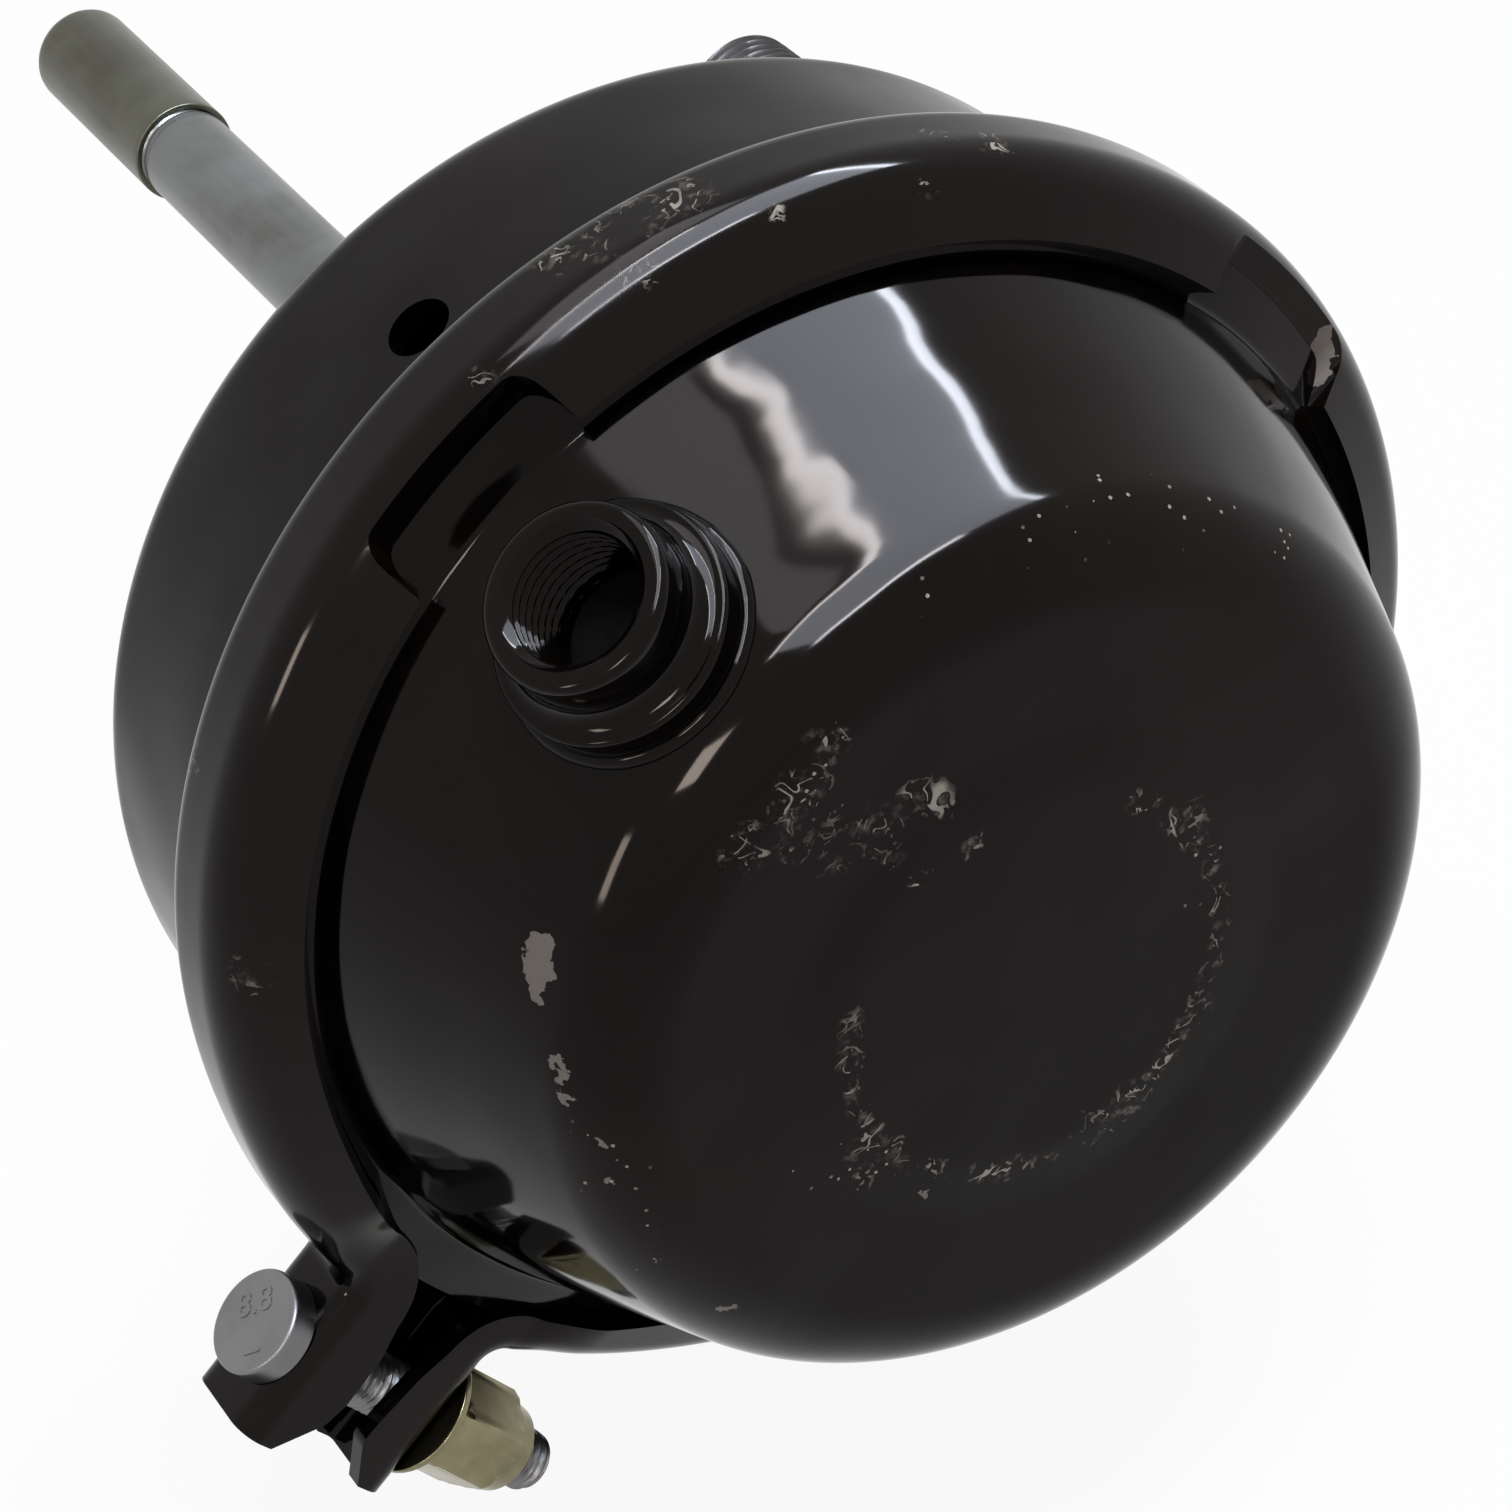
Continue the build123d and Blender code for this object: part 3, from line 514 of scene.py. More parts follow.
# %% Shared sizes, in millimetres
JOINT_Y, FRONT_Y = -44.5, -93.3
CLAMP_R, CLAMP_FLAT, CLAMP_SHEET = 81.4, 12.8, 2.5
FRONT_SHEET, REAR_SHEET = 2.5, 3.0
FLANGE_R, WALL_R, CONE_R = 77.9, 73.7, 73.8
LEG_ANGLE, CONE_ANGLE = np.radians(27.0), np.radians(21.4)
LEG, CUT = np.tan(LEG_ANGLE), 1 / np.cos(LEG_ANGLE)
CONE, LAY = np.tan(CONE_ANGLE), 1 / np.cos(CONE_ANGLE)
FIT = 0.05  # air between pieces that touch
ROD_HOLE_R, DISC_RISE = 15.0, 0.5


def clamp_half(r):
    """Half the clamp's outside width: flat / 2 + (outer radius - r) * tan(leg angle)."""
    return CLAMP_FLAT / 2 + (CLAMP_R - r) * LEG


def flange_half(r):
    """Half the width over both flanges: the clamp's, less its sheet cut on the slant."""
    return clamp_half(r) - CLAMP_SHEET * CUT - FIT


def cone_r(y):
    """Outside radius of the bowl's cone at a height."""
    return CONE_R + (y - JOINT_Y) * CONE


# %% Pressure housing
ROOT_R = (cone_r(JOINT_Y) - CONE * flange_half(0)) / (1 - CONE * LEG)
bowl_loop = sheet_loop(
    [(FLANGE_R, JOINT_Y - flange_half(FLANGE_R)), (ROOT_R, JOINT_Y - flange_half(ROOT_R)),
     (cone_r(FRONT_Y), FRONT_Y), (32.0, FRONT_Y),
     (25.0, FRONT_Y - DISC_RISE), (0, FRONT_Y - DISC_RISE)],
    [2.0, 13.0, 40.0, 42.5], -FRONT_SHEET)
bowl = lathe("bowl", bowl_loop, bowl_paint, turns=360)
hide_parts("pressure_housing")
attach(bowl, "chamber")

# %% Rear housing
rear_loop = sheet_loop(
    [(FLANGE_R, JOINT_Y + flange_half(FLANGE_R)), (WALL_R, JOINT_Y + flange_half(WALL_R)),
     (WALL_R, 0), (ROD_HOLE_R, 0)],
    [3.0, 5.5], REAR_SHEET)
rear_cup = lathe("rear_cup", rear_loop, rear_paint, turns=360)
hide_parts("rear_housing")
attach(rear_cup, "chamber")

# %% [markdown]
# ## The clamp ring
# One long strip, bent to a V-section channel, goes round both flanges. At each end the
# strip folds straight out and becomes a lug, with its two legs turned towards the gap. So
# we carry one channel section along one path: out of the first lug, round the circle, and
# into the second. The legs' length, lean and spread change along the path.

# %% Lug frame
LUG_CLOCK = 225.0
LUG_T = spoke(LUG_CLOCK + 90)
LUG_R = spoke(LUG_CLOCK)
AXIS = np.array([0.0, 1.0, 0.0])


def lug_place(s, p, y):
    """s across the gap, p straight out from the axis between the lugs, y along the axis."""
    return s[..., None] * LUG_T + p[..., None] * LUG_R + y[..., None] * AXIS


# %% The strip's path
# Near the lugs the strip is a little straighter, and stands off by END_RISE.
EAR_S, EAR_TOP, FOOT, END_RISE = 12.7, 104.4, 2.5, 1.4
FOOT_S = EAR_S + FOOT
FOOT_P = np.sqrt((CLAMP_R + END_RISE + FOOT) ** 2 - FOOT_S ** 2)
foot_end = np.arctan2(FOOT_S, FOOT_P)
ear_count, foot_count, ring_count = 40, 22, 900
ear_t = np.linspace(1, 0, ear_count)
foot_a = np.linspace(np.pi, 1.5 * np.pi - foot_end, foot_count)[1:-1]
ring_a = np.linspace(foot_end, 2 * np.pi - foot_end, ring_count)
end_angle = np.minimum(ring_a, 2 * np.pi - ring_a) - foot_end
ring_r = CLAMP_R + END_RISE * np.exp(-(end_angle / 0.25) ** 2)


def both_ends(ear, foot, ring, flip):
    """A value along the path: lug, foot and circle, then the second foot and lug, which
    mirror the first ones with the sign flip."""
    first = np.concatenate([ear, foot])
    return np.concatenate([first, ring, flip * first[::-1]])


path_s = both_ends(np.full(ear_count, EAR_S), FOOT_S + FOOT * np.cos(foot_a),
                   ring_r * np.sin(ring_a), -1)
path_p = both_ends(FOOT_P + (EAR_TOP - FOOT_P) * ear_t, FOOT_P + FOOT * np.sin(foot_a),
                   ring_r * np.cos(ring_a), 1)
norm_s = both_ends(np.ones(ear_count), -np.cos(foot_a), np.sin(ring_a), -1)
norm_p = both_ends(np.zeros(ear_count), -np.sin(foot_a), np.cos(ring_a), 1)
along = np.concatenate([[0], np.cumsum(np.hypot(np.diff(path_s), np.diff(path_p)))])
from_end = np.minimum(along, along[-1] - along)
nut_side = path_s > 0
ear_length = EAR_TOP - FOOT_P
print("strip length in mm", round(along[-1], 1))


def ease(x):
    """A smooth step from 0 to 1: 3x^2 - 2x^3, held at its ends."""
    x = np.clip(x, 0, 1)
    return x * x * (3 - 2 * x)


LUG_WIDE = 14.0
# 0 on the lug, 1 on the round part
round_share = ease((from_end - ear_length) / 14.0)
lean = LEG_ANGLE * round_share
web = LUG_WIDE + (CLAMP_FLAT - LUG_WIDE) * round_share
# how far the legs reach in: each lug's end is bevelled, and the gap widens towards the ring
nut_reach = np.interp(from_end, [0, 5.5, 9, 16, 21, 25, 42], [5.0, 9.0, 8.8, 8.0, 6.7, 6.4, 8.8])
head_reach = np.interp(from_end, [0, 5.5, 9, 16, 21, 25, 42], [5.0, 9.6, 10.4, 10.2, 8.9, 8.4, 8.8])
front_reach = np.where(nut_side, nut_reach, head_reach)
rear_reach = 9.4 + (5.0 - 9.4) * round_share
rear_reach = np.minimum(rear_reach, np.interp(from_end, [0, 5.5], [5.0, 9.4]))


# %% The channel section
LUG_BEND, FRONT_BEND, REAR_BEND = 3.3, 7.5, 4.5


def channel_side(reach, half_web, lean, widest, steps_leg=6, steps_bend=14, steps_web=3):
    """One half of the channel's outside, from the leg's lip to the middle of the web.
    a is measured outwards from the web and b across it. The leg runs along
    (-cos lean, sin lean), and an arc joins it to the web, of radius widest at full lean."""
    turn = np.pi / 2 - lean
    # the bend is tighter where the legs stand square
    bend = LUG_BEND + (widest - LUG_BEND) * ease(lean / LEG_ANGLE)
    cut = bend * np.tan(turn / 2)
    leg_a, leg_b = -np.cos(lean), np.sin(lean)
    length = reach / np.cos(lean)
    t = np.linspace(1, 0, steps_leg)[None, :]
    run = cut[:, None] + (length - cut)[:, None] * t
    a1, b1 = leg_a[:, None] * run, half_web[:, None] + leg_b[:, None] * run
    na1, nb1 = np.sin(lean)[:, None] + 0 * t, np.cos(lean)[:, None] + 0 * t
    w = np.linspace(0, 1, steps_bend + 2)[1:-1][None, :]
    facing = lean[:, None] + turn[:, None] * w
    na2, nb2 = np.sin(facing), np.cos(facing)
    a2 = bend[:, None] * (na2 - 1)
    b2 = (half_web - cut)[:, None] + bend[:, None] * nb2
    v = np.linspace(0, 1, steps_web)[None, :]
    a3 = 0 * v + 0 * reach[:, None]
    b3 = (half_web - cut)[:, None] * (1 - v)
    na3, nb3 = np.ones_like(a3), 0 * a3
    parts = (a1, a2, a3), (b1, b2, b3), (na1, na2, na3), (nb1, nb2, nb3)
    return [np.concatenate(part, 1) for part in parts]


front = channel_side(front_reach, web / 2, lean, FRONT_BEND)
rear = channel_side(rear_reach, web / 2, lean, REAR_BEND)
# the front half faces -Y, and the rear half is joined on in reverse
a, b, na, nb = (np.concatenate([flip * near, far[:, ::-1][:, 1:]], 1)
                for flip, near, far in zip((1, -1, 1, -1), front, rear))
a_in, b_in = a - CLAMP_SHEET * na, b - CLAMP_SHEET * nb
loop_a = np.concatenate([a, a_in[:, ::-1]], 1)
loop_b = np.concatenate([b, b_in[:, ::-1]], 1)


# %% The clamp ring's mesh
s = path_s[:, None] + norm_s[:, None] * loop_a
p = path_p[:, None] + norm_p[:, None] * loop_a
band_points = lug_place(s, p, JOINT_Y + loop_b)
rows, columns = loop_a.shape
band_faces = grid_faces(rows, columns, close_columns=True)
half = columns // 2
lid = np.array([[j, j + 1, columns - 2 - j, columns - 1 - j] for j in range(half - 1)])
band_faces = np.vstack([band_faces, lid[:, ::-1], lid + (rows - 1) * columns])
band = make_piece("clamp_ring", band_points, band_faces, band_paint, sharp_deg=40)
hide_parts("clamp_band")
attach(band, "chamber")

# %% [markdown]
# ## Cutting the notches
# The ring must bend, so its legs are cut away in two places. The flange edges show through.
# A cut is a second, closed shape taken away with a Boolean modifier, which we apply at once.

# %% Cutter helpers


def cut_away(piece, cutter_points, cutter_faces):
    """Takes a closed shape away from a piece and applies the result."""
    cutter = make_piece("cutter", cutter_points, cutter_faces)
    modifier = piece.modifiers.new("cut", "BOOLEAN")
    modifier.object = cutter
    modifier.solver = "EXACT"
    graph = bpy.context.evaluated_depsgraph_get()
    result = bpy.data.meshes.new_from_object(piece.evaluated_get(graph))
    piece.modifiers.clear()
    old = piece.data
    piece.data = result
    result.name = old.name
    bpy.data.meshes.remove(old)
    bpy.data.objects.remove(cutter)


def prism(outline, axis_x, axis_y, axis_z, low, high, centre):
    """A closed outline carried from low to high along axis_z, with both ends closed by
    fans that meet at the outline's middle."""
    middle = outline.mean(0) + 0 * outline
    rings = [(low, middle), (low, outline), (high, outline), (high, middle)]
    points = [centre + ring[:, :1] * axis_x + ring[:, 1:] * axis_y + height * axis_z
              for height, ring in rings]
    return np.stack(points), grid_faces(4, len(outline), close_columns=True)


def rounded_box(wide, tall, radius, steps=6):
    """A rectangle's outline with quarter-circle corners."""
    corners = []
    for k, (sx, sy) in enumerate(((1, 1), (-1, 1), (-1, -1), (1, -1))):
        t = np.linspace(k * np.pi / 2, (k + 1) * np.pi / 2, steps)
        corners.append(np.stack([sx * (wide / 2 - radius) + radius * np.cos(t),
                                 sy * (tall / 2 - radius) + radius * np.sin(t)], -1))
    return np.vstack(corners)


# %% Notches
NOTCH_WEB, NOTCH_WIDE, NOTCH_DEEP, NOTCH_ROUND = 12.4, 26.0, 9.0, 2.5
notch = rounded_box(NOTCH_DEEP, NOTCH_WIDE, NOTCH_ROUND)
for clock in (40.5, 130.5):
    out, tangent = spoke(clock), spoke(clock + 90)
    for side in (-1, 1):
        middle = AXIS * (JOINT_Y + side * (NOTCH_WEB + NOTCH_DEEP) / 2)
        cut_away(band, *prism(notch, AXIS, tangent, out, 66.0, 88.0, middle))

# %% Drain holes and the port's hole
DRAIN_R, DRAIN_Y = 4.0, -25.5
unit_circle = np.hstack([np.cos(turn_angles(48)), np.sin(turn_angles(48))])
for clock in (34.0, 124.0, 214.0, 304.0):
    out, tangent = spoke(clock), spoke(clock + 90)
    cut_away(rear_cup, *prism(DRAIN_R * unit_circle, AXIS, tangent, out, 66.0, 76.0,
                              DRAIN_Y * AXIS))

PORT_CLOCK, PORT_Y, PORT_HOLE_R = 131.2, -73.0, 7.85
PORT_TILT = np.radians(16.0)
port_out = np.cos(PORT_TILT) * spoke(PORT_CLOCK) - np.sin(PORT_TILT) * AXIS
port_side = spoke(PORT_CLOCK + 90)
port_up = np.cross(port_out, port_side)
port_foot = cone_r(PORT_Y) * spoke(PORT_CLOCK) + PORT_Y * AXIS
port_frame = (port_foot, port_side, port_up, port_out)
cut_away(bowl, *prism(PORT_HOLE_R * unit_circle, *port_frame[1:], -8.0, 4.0, port_foot))
for piece in (band, rear_cup, bowl):
    piece.data.set_sharp_from_angle(angle=np.radians(38))

# %% [markdown]
# ## The port
# A turned boss is welded on the cone. Its neck carries an inside thread. A thread is a
# radius that rises and falls along a helix, so the bore is a grid in angle and depth whose
# radius depends on depth / pitch - angle / a full turn.

# %% Port boss


def about(origin, axis_x, axis_y, axis_z, r, t, h):
    """Cylinder coordinates about a line: origin + r cos t x + r sin t y + h z."""
    r, t, h = np.broadcast_arrays(r, t, h)
    return (origin + (r * np.cos(t))[..., None] * axis_x + (r * np.sin(t))[..., None] * axis_y
            + h[..., None] * axis_z)


def side_by_side(*parts):
    """Joins columns and rows of values into one grid, each row stretched to all the angles."""
    parts = [np.atleast_2d(part) for part in parts]
    rows = max(len(part) for part in parts)
    return np.hstack([np.broadcast_to(part, (rows, part.shape[1])) for part in parts])


def thread_wave(turns):
    """0 at the root and 1 at the crest of a 60 degree thread with blunt tips."""
    saw = np.abs((turns % 1.0) - 0.5) * 2
    return np.clip(saw * 1.35 - 0.17, 0, 1)


def cone_height(x, y):
    """Height of the cone's surface over the port's own flat plane. Newton's rule repeats
    h = h - miss / slope, where miss is the radius at (x, y, h) less the cone's."""
    h = 0 * x
    for _ in range(8):
        at = port_foot + x[..., None] * port_side + y[..., None] * port_up + h[..., None] * port_out
        h = h - (np.hypot(at[..., 0], at[..., 2]) - cone_r(at[..., 1])) / 1.07
    return h


PITCH, BORE, THREAD_ROOT, COLLAR_R, NECK_R, PORT_TOP = 1.5, 7.25, 7.95, 13.9, 10.8, 12.0
COLLAR_H, MOUTH_R = 3.5, 8.25
outside, _ = rounded([(COLLAR_R, 0.0), (COLLAR_R, COLLAR_H), (NECK_R, COLLAR_H), (NECK_R, PORT_TOP),
                      (8.9, PORT_TOP)], [0.6, 2.5, 1.2], 0.5)
depth = np.linspace(11.3, -2.4, 200)
port_t = turn_angles(160)
fade = ease((11.2 - depth) / 1.2)
groove = (THREAD_ROOT - BORE) * thread_wave(depth[None, :] / PITCH - port_t / (2 * np.pi))
mouth = (MOUTH_R - BORE) * (1 - ease((11.9 - depth) / 1.2))
bore_r = BORE + np.maximum(groove * fade, 0) + mouth[None, :]
base_r = np.array([BORE + FIT, COLLAR_R])[None, :] + 0 * port_t
base_h = cone_height(base_r * np.cos(port_t), base_r * np.sin(port_t)) - 1.0
port_r = side_by_side(base_r, outside[:, 0], [8.55, 8.3], bore_r)
port_h = side_by_side(base_h, outside[:, 1], [PORT_TOP, 11.7], depth)
port = make_piece("port", about(*port_frame, port_r, port_t, port_h),
                  grid_faces(*port_r.shape, True, True), bowl_paint, 40)
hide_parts("port_boss")
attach(port, "chamber")

# %% Weld ring
# a half-round bead about the collar's foot, with the slight swells of hand welding
WELD_HIGH, WELD_SUNK = 1.15, 0.25
weld_t = turn_angles(220)
weld_v = np.linspace(0, np.pi, 13)[None, :]
bead = 1.0 + 0.012 * np.sin(26 * weld_t) + 0.03 * np.sin(7 * weld_t + 1)
weld_r = COLLAR_R + bead * np.cos(weld_v)
weld_h = cone_height(weld_r * np.cos(weld_t), weld_r * np.sin(weld_t)) - WELD_SUNK
weld_h = weld_h + WELD_HIGH * bead * np.sin(weld_v)
weld = make_piece("port_bead", about(*port_frame, weld_r, weld_t, weld_h),
                  grid_faces(*weld_r.shape, True, True), bowl_paint, 60)
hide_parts("port_weld")
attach(weld, "chamber")

# %% [markdown]
# ## The clamp's bolt
# The bolt's axis runs across the gap, from the head on one lug to the nut on the other.
# It leans 2 degrees outwards, as such a bolt does once it is tight.

# %% Clamp bolt
BOLT_P = 93.7
BOLT_LEAN = np.radians(2.2)
bolt_line = np.cos(BOLT_LEAN) * LUG_T + np.sin(BOLT_LEAN) * LUG_R
bolt_out = np.cos(BOLT_LEAN) * LUG_R - np.sin(BOLT_LEAN) * LUG_T
bolt_origin = lug_place(np.array(0.0), np.array(BOLT_P), np.array(JOINT_Y))
bolt_frame = (bolt_origin, bolt_out, np.cross(bolt_line, bolt_out), bolt_line)


def threaded_bar(name, frame_of, before, end, plain_to, radius, root, pitch, material, tip,
                 turns=96):
    """A bar turned about its line. before is the profile of all that comes first, whose last
    point starts the bar. The bar is plain up to plain_to and threaded after it, with the
    thread fading in over one pitch, and ends in a bevelled tip."""
    rings_per_pitch = 8
    count = int((end - plain_to) / pitch * rings_per_pitch)
    h = np.concatenate([before[-1:, 1], np.linspace(plain_to, end - 0.01, count)])
    t = turn_angles(turns)
    deep = (radius - root) * (1 - thread_wave(h[None, :] / pitch - t / (2 * np.pi)))
    deep = deep * ease((h - plain_to) / pitch)[None, :]
    bevel = np.clip(h - (end - tip), 0, None)[None, :]
    r = side_by_side(before[:-1, 0], np.minimum(radius - deep, radius - bevel), [0])
    h = np.concatenate([before[:-1, 1], h, [end]])
    return make_piece(name, about(*frame_of, r, t, h),
                      grid_faces(*r.shape, close_rows=True), material, 40)


HEAD_R, HEAD_TOP, HEAD_SEAT, BOLT_R = 6.7, -16.4, -12.7, 4.0
head_line, _ = rounded(
    [(0, HEAD_TOP), (HEAD_R, HEAD_TOP), (HEAD_R, HEAD_SEAT), (BOLT_R, HEAD_SEAT)],
    [0.55, 0.15], 0.7)
bolt = threaded_bar("clamp_screw", bolt_frame, np.vstack([head_line, [BOLT_R, HEAD_SEAT + 0.01]]),
                    36.2, -6.0, BOLT_R, 3.35, 1.25, bolt_zinc, 0.8)
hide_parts("clamp_bolt")
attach(bolt, "chamber")

# %% Strength mark on the bolt's head
# text is flat and faces Z, so its axes are set in the head's plane and it sinks in slightly
text_x = np.array([0.87, -0.49, 0.0])
text_x = text_x - bolt_line * (text_x @ bolt_line)
text_x = text_x / np.linalg.norm(text_x)
text_y = np.cross(-bolt_line, text_x)
mark_curve = bpy.data.curves.new("head_mark", "FONT")
mark_curve.body = "8.8\n_"
mark_curve.size, mark_curve.extrude, mark_curve.offset = 4.6, 0.12, 0.03
mark_curve.align_x, mark_curve.align_y = "CENTER", "CENTER"
mark_curve.resolution_u = 4
holder = show("holder", mark_curve)
bpy.context.view_layer.update()
mark_mesh = bpy.data.meshes.new_from_object(holder)
bpy.data.objects.remove(holder)
turn = np.stack([text_x, text_y, -bolt_line, bolt_origin + HEAD_TOP * bolt_line], 1) * MM
mark_mesh.transform(Matrix([list(row) for row in turn] + [[0, 0, 0, 1]]))
mark_mesh.materials.clear()
mark_mesh.materials.append(bolt_zinc)
head_mark = show("head_mark", mark_mesh)
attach(head_mark, "chamber")

# %% Washer
HOLE_R, NUT_FOOT = 4.1, 15.9
washer_line, _ = rounded(
    [(HOLE_R, EAR_S), (9.0, EAR_S), (9.0, 13.6), (6.2, NUT_FOOT), (HOLE_R, NUT_FOOT)],
    [0.2, 0.3, 0.2], 0.6)
washer_points = about(*bolt_frame, washer_line[:, 0], turn_angles(96), washer_line[:, 1])
washer = make_piece("cone_washer", washer_points, grid_faces(*washer_points.shape[:2], True, True),
                    yellow_zinc)
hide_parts("clamp_washer")
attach(washer, "chamber")

# %% Nut
# a hexagon's radius is its half width over flats / cos of the angle from the nearest flat's
# middle, and the turned crown and bevels limit it at each height
HALF_FLATS = 6.5
nut_t = turn_angles(144)
hexagon = HALF_FLATS / np.cos((nut_t % (np.pi / 3)) - np.pi / 6)
nut_h = np.array([NUT_FOOT, NUT_FOOT, 16.2, 17.0, 25.6, 26.5, 26.9, 27.1, 28.4, 29.9, 30.5, 30.5])
limit_r = np.array([HOLE_R, 6.6, 6.9, 7.6, 7.6, 7.1, 6.5, 6.2, 6.05, 5.8, 5.3, HOLE_R])
nut_r = np.minimum(hexagon, limit_r[None, :])
nut = make_piece("clamp_nut_turned", about(*bolt_frame, nut_r, nut_t, nut_h),
                 grid_faces(*nut_r.shape, True, True), yellow_zinc, 25)
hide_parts("clamp_nut")
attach(nut, "chamber")

# %% [markdown]
# ## Studs, rod and cap
# The studs and the rod are bars about lines parallel to the axis.

# %% Studs
STUD_CIRCLE, STUD_R, STUD_HEAD = 60.325, 8.0, 6.2
stud_line = np.array([(0, -7.5), (STUD_HEAD, -7.5), (STUD_HEAD, -REAR_SHEET), (STUD_R, -REAR_SHEET),
                      (STUD_R, -REAR_SHEET)])
for k, clock in enumerate((64.5, 244.5)):
    stud_frame = (STUD_CIRCLE * spoke(clock), spoke(clock + 90), spoke(clock), AXIS)
    stud = threaded_bar(f"stud_{k + 1}", stud_frame, stud_line, 21.0, 0.6, STUD_R, 7.1, PITCH,
                        stud_steel, 1.2)
    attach(stud, "chamber")
    if k == 0:
        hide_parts("mounting_studs")

# %% Push rod
# the profile runs back to the foot before its threaded end, so a hidden second wall is left
# just inside the bar
ROD_R, ROD_FOOT = 7.0, -84.0
rod_frame = (0 * AXIS, np.array([1.0, 0, 0]), np.array([0, 0, -1.0]), AXIS)
rod_line = np.array([(0, ROD_FOOT), (ROD_R, ROD_FOOT), (ROD_R, 139.5), (ROD_R, ROD_FOOT)])
rod = threaded_bar("push_bar", rod_frame, rod_line, 180.0, 140.5, ROD_R - FIT, 6.1, PITCH,
                   rod_zinc, 1.5, turns=128)
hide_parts("push_rod")
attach(rod, "push_rod")

# %% Thread cap
CAP_BORE, CAP_R, CAP_MOUTH, CAP_END, CAP_TOP = 6.96, 7.7, 141.7, 180.05, 181.25
cap_outside, _ = rounded(
    [(CAP_BORE, CAP_MOUTH), (CAP_R, CAP_MOUTH), (CAP_R, CAP_TOP), (0, CAP_TOP)], [0.25, 2.4], 1.5)
cap_loop = np.vstack([cap_outside, [(0, CAP_END), (CAP_BORE, CAP_END)]])
cap = lathe("thread_cap", cap_loop, cap_zinc, turns=128)
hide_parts("rod_cap")
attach(cap, "rod_cap")

# %% [markdown]
# ## Inside the chamber
# The diaphragm lines the bowl and bends when the rod goes out. Here it is a fine surface
# turned about the axis, attached to neither body. The spring is a tube along a cone-shaped helix.

# %% Diaphragm
# its outer and inner faces, as depths under the outside of the bowl
OUTER, INNER = 3.0, 6.0
RUBBER = INNER - OUTER
NECK_R_IN, BEAD_IN, BEAD_OUT = 71.6, 73.6, 77.4


def bead_front(r):
    """The bead's front face below the joint, along the slanted flange."""
    return flange_half(r) - FRONT_SHEET * CUT - FIT


def bead_rear(r):
    """The bead's rear face above the joint."""
    return flange_half(r) - REAR_SHEET * CUT - FIT


def meets(layer, zero):
    """Where a layer inside the cone meets a slanted layer of the flange."""
    return (cone_r(JOINT_Y) - layer * LAY - CONE * zero) / (1 - CONE * LEG)


front_face = FRONT_Y + OUTER
back_face = front_face + RUBBER
neck = bead_front(0) - RUBBER * CUT
r_out, r_in = meets(OUTER, bead_front(0)), meets(INNER, neck)
inside_line, _ = rounded(
    [(0, back_face), (cone_r(back_face) - INNER * LAY, back_face),
     (r_in, JOINT_Y - neck + r_in * LEG), (NECK_R_IN, JOINT_Y - neck + NECK_R_IN * LEG),
     (BEAD_IN, JOINT_Y + bead_rear(BEAD_IN)), (BEAD_OUT, JOINT_Y + bead_rear(BEAD_OUT))],
    [7.0, 6.0, 0.3, 0.3], 1.5)
outside_line, _ = rounded(
    [(BEAD_OUT, JOINT_Y - bead_front(BEAD_OUT)), (r_out, JOINT_Y - bead_front(r_out)),
     (cone_r(front_face) - OUTER * LAY, front_face), (0, front_face)],
    [5.0, 10.0], 1.5)
membrane = lathe("membrane", np.vstack([inside_line, outside_line]), rubber_and_painted_shade, turns=192,
                 closed=False)
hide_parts("diaphragm")
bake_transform(membrane)

# %% Return spring


def tube_along(line, radius, sides):
    """A round tube along a line of points: at each point a circle in the plane of the
    outward spoke and the axis's own part square to the line. Its first and last rings
    shrink to the line, which closes the ends."""
    tangent = np.gradient(line, axis=0)
    tangent /= np.linalg.norm(tangent, axis=1)[:, None]
    out = line * [1, 0, 1]
    out /= np.linalg.norm(out, axis=1)[:, None]
    out -= (out * tangent).sum(1)[:, None] * tangent
    out /= np.linalg.norm(out, axis=1)[:, None]
    up = np.cross(tangent, out)
    t = turn_angles(sides)[None, :, :]
    ring = radius * (np.cos(t) * out[:, None, :] + np.sin(t) * up[:, None, :])
    first, last = (np.repeat(line[k, None, None, :], sides, 1) for k in (0, -1))
    return np.concatenate([first, line[:, None, :] + ring, last])


COIL_FOOT, COIL_RISE, COIL_TURNS = -81.8, 72.4, 5.2
COIL_SMALL, COIL_WIDENS, WIRE_R = 20.0, 21.5, 2.2
coil_u = np.linspace(0, 1, 460)
coil_r = COIL_SMALL + COIL_WIDENS * coil_u
coil_t = 2 * np.pi * COIL_TURNS * coil_u
coil_y = COIL_FOOT + (COIL_RISE * coil_u)
coil = np.stack([coil_r * np.cos(coil_t), coil_y, -coil_r * np.sin(coil_t)], -1)
spring_tube = tube_along(coil, WIRE_R, 14)
spring = make_piece("spring_coil", spring_tube,
                    grid_faces(*spring_tube.shape[:2], close_columns=True), spring_coat, 50)
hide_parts("return_spring")
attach(spring, "chamber")
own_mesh(spring)

# %% Plate, hub, seat, washer and disc
PLATE_R, HUB_R, DISC_R, DISC_Y, SEAT_Y = 48.5, 13.5, 46.8, -6.0, -8.5
plate_loop = sheet_loop([(0, -87.0), (PLATE_R, -87.0), (PLATE_R, -78.0)], [7.0], 3.0)
seat_loop = sheet_loop([(45.8, DISC_Y), (24.0, DISC_Y), (24.0, SEAT_Y), (12.0, SEAT_Y)],
                       [0.6, 0.6], 1.2)
hub_loop = np.array([(ROD_R, ROD_FOOT), (HUB_R, ROD_FOOT), (HUB_R, -77.5), (10.0, -74.0),
                     (ROD_R, -74.0)])
hub_weld_loop = np.array([(HUB_R, ROD_FOOT), (HUB_R + 2, ROD_FOOT), (HUB_R, ROD_FOOT + 2)])
washer_r = ROD_R + FIT
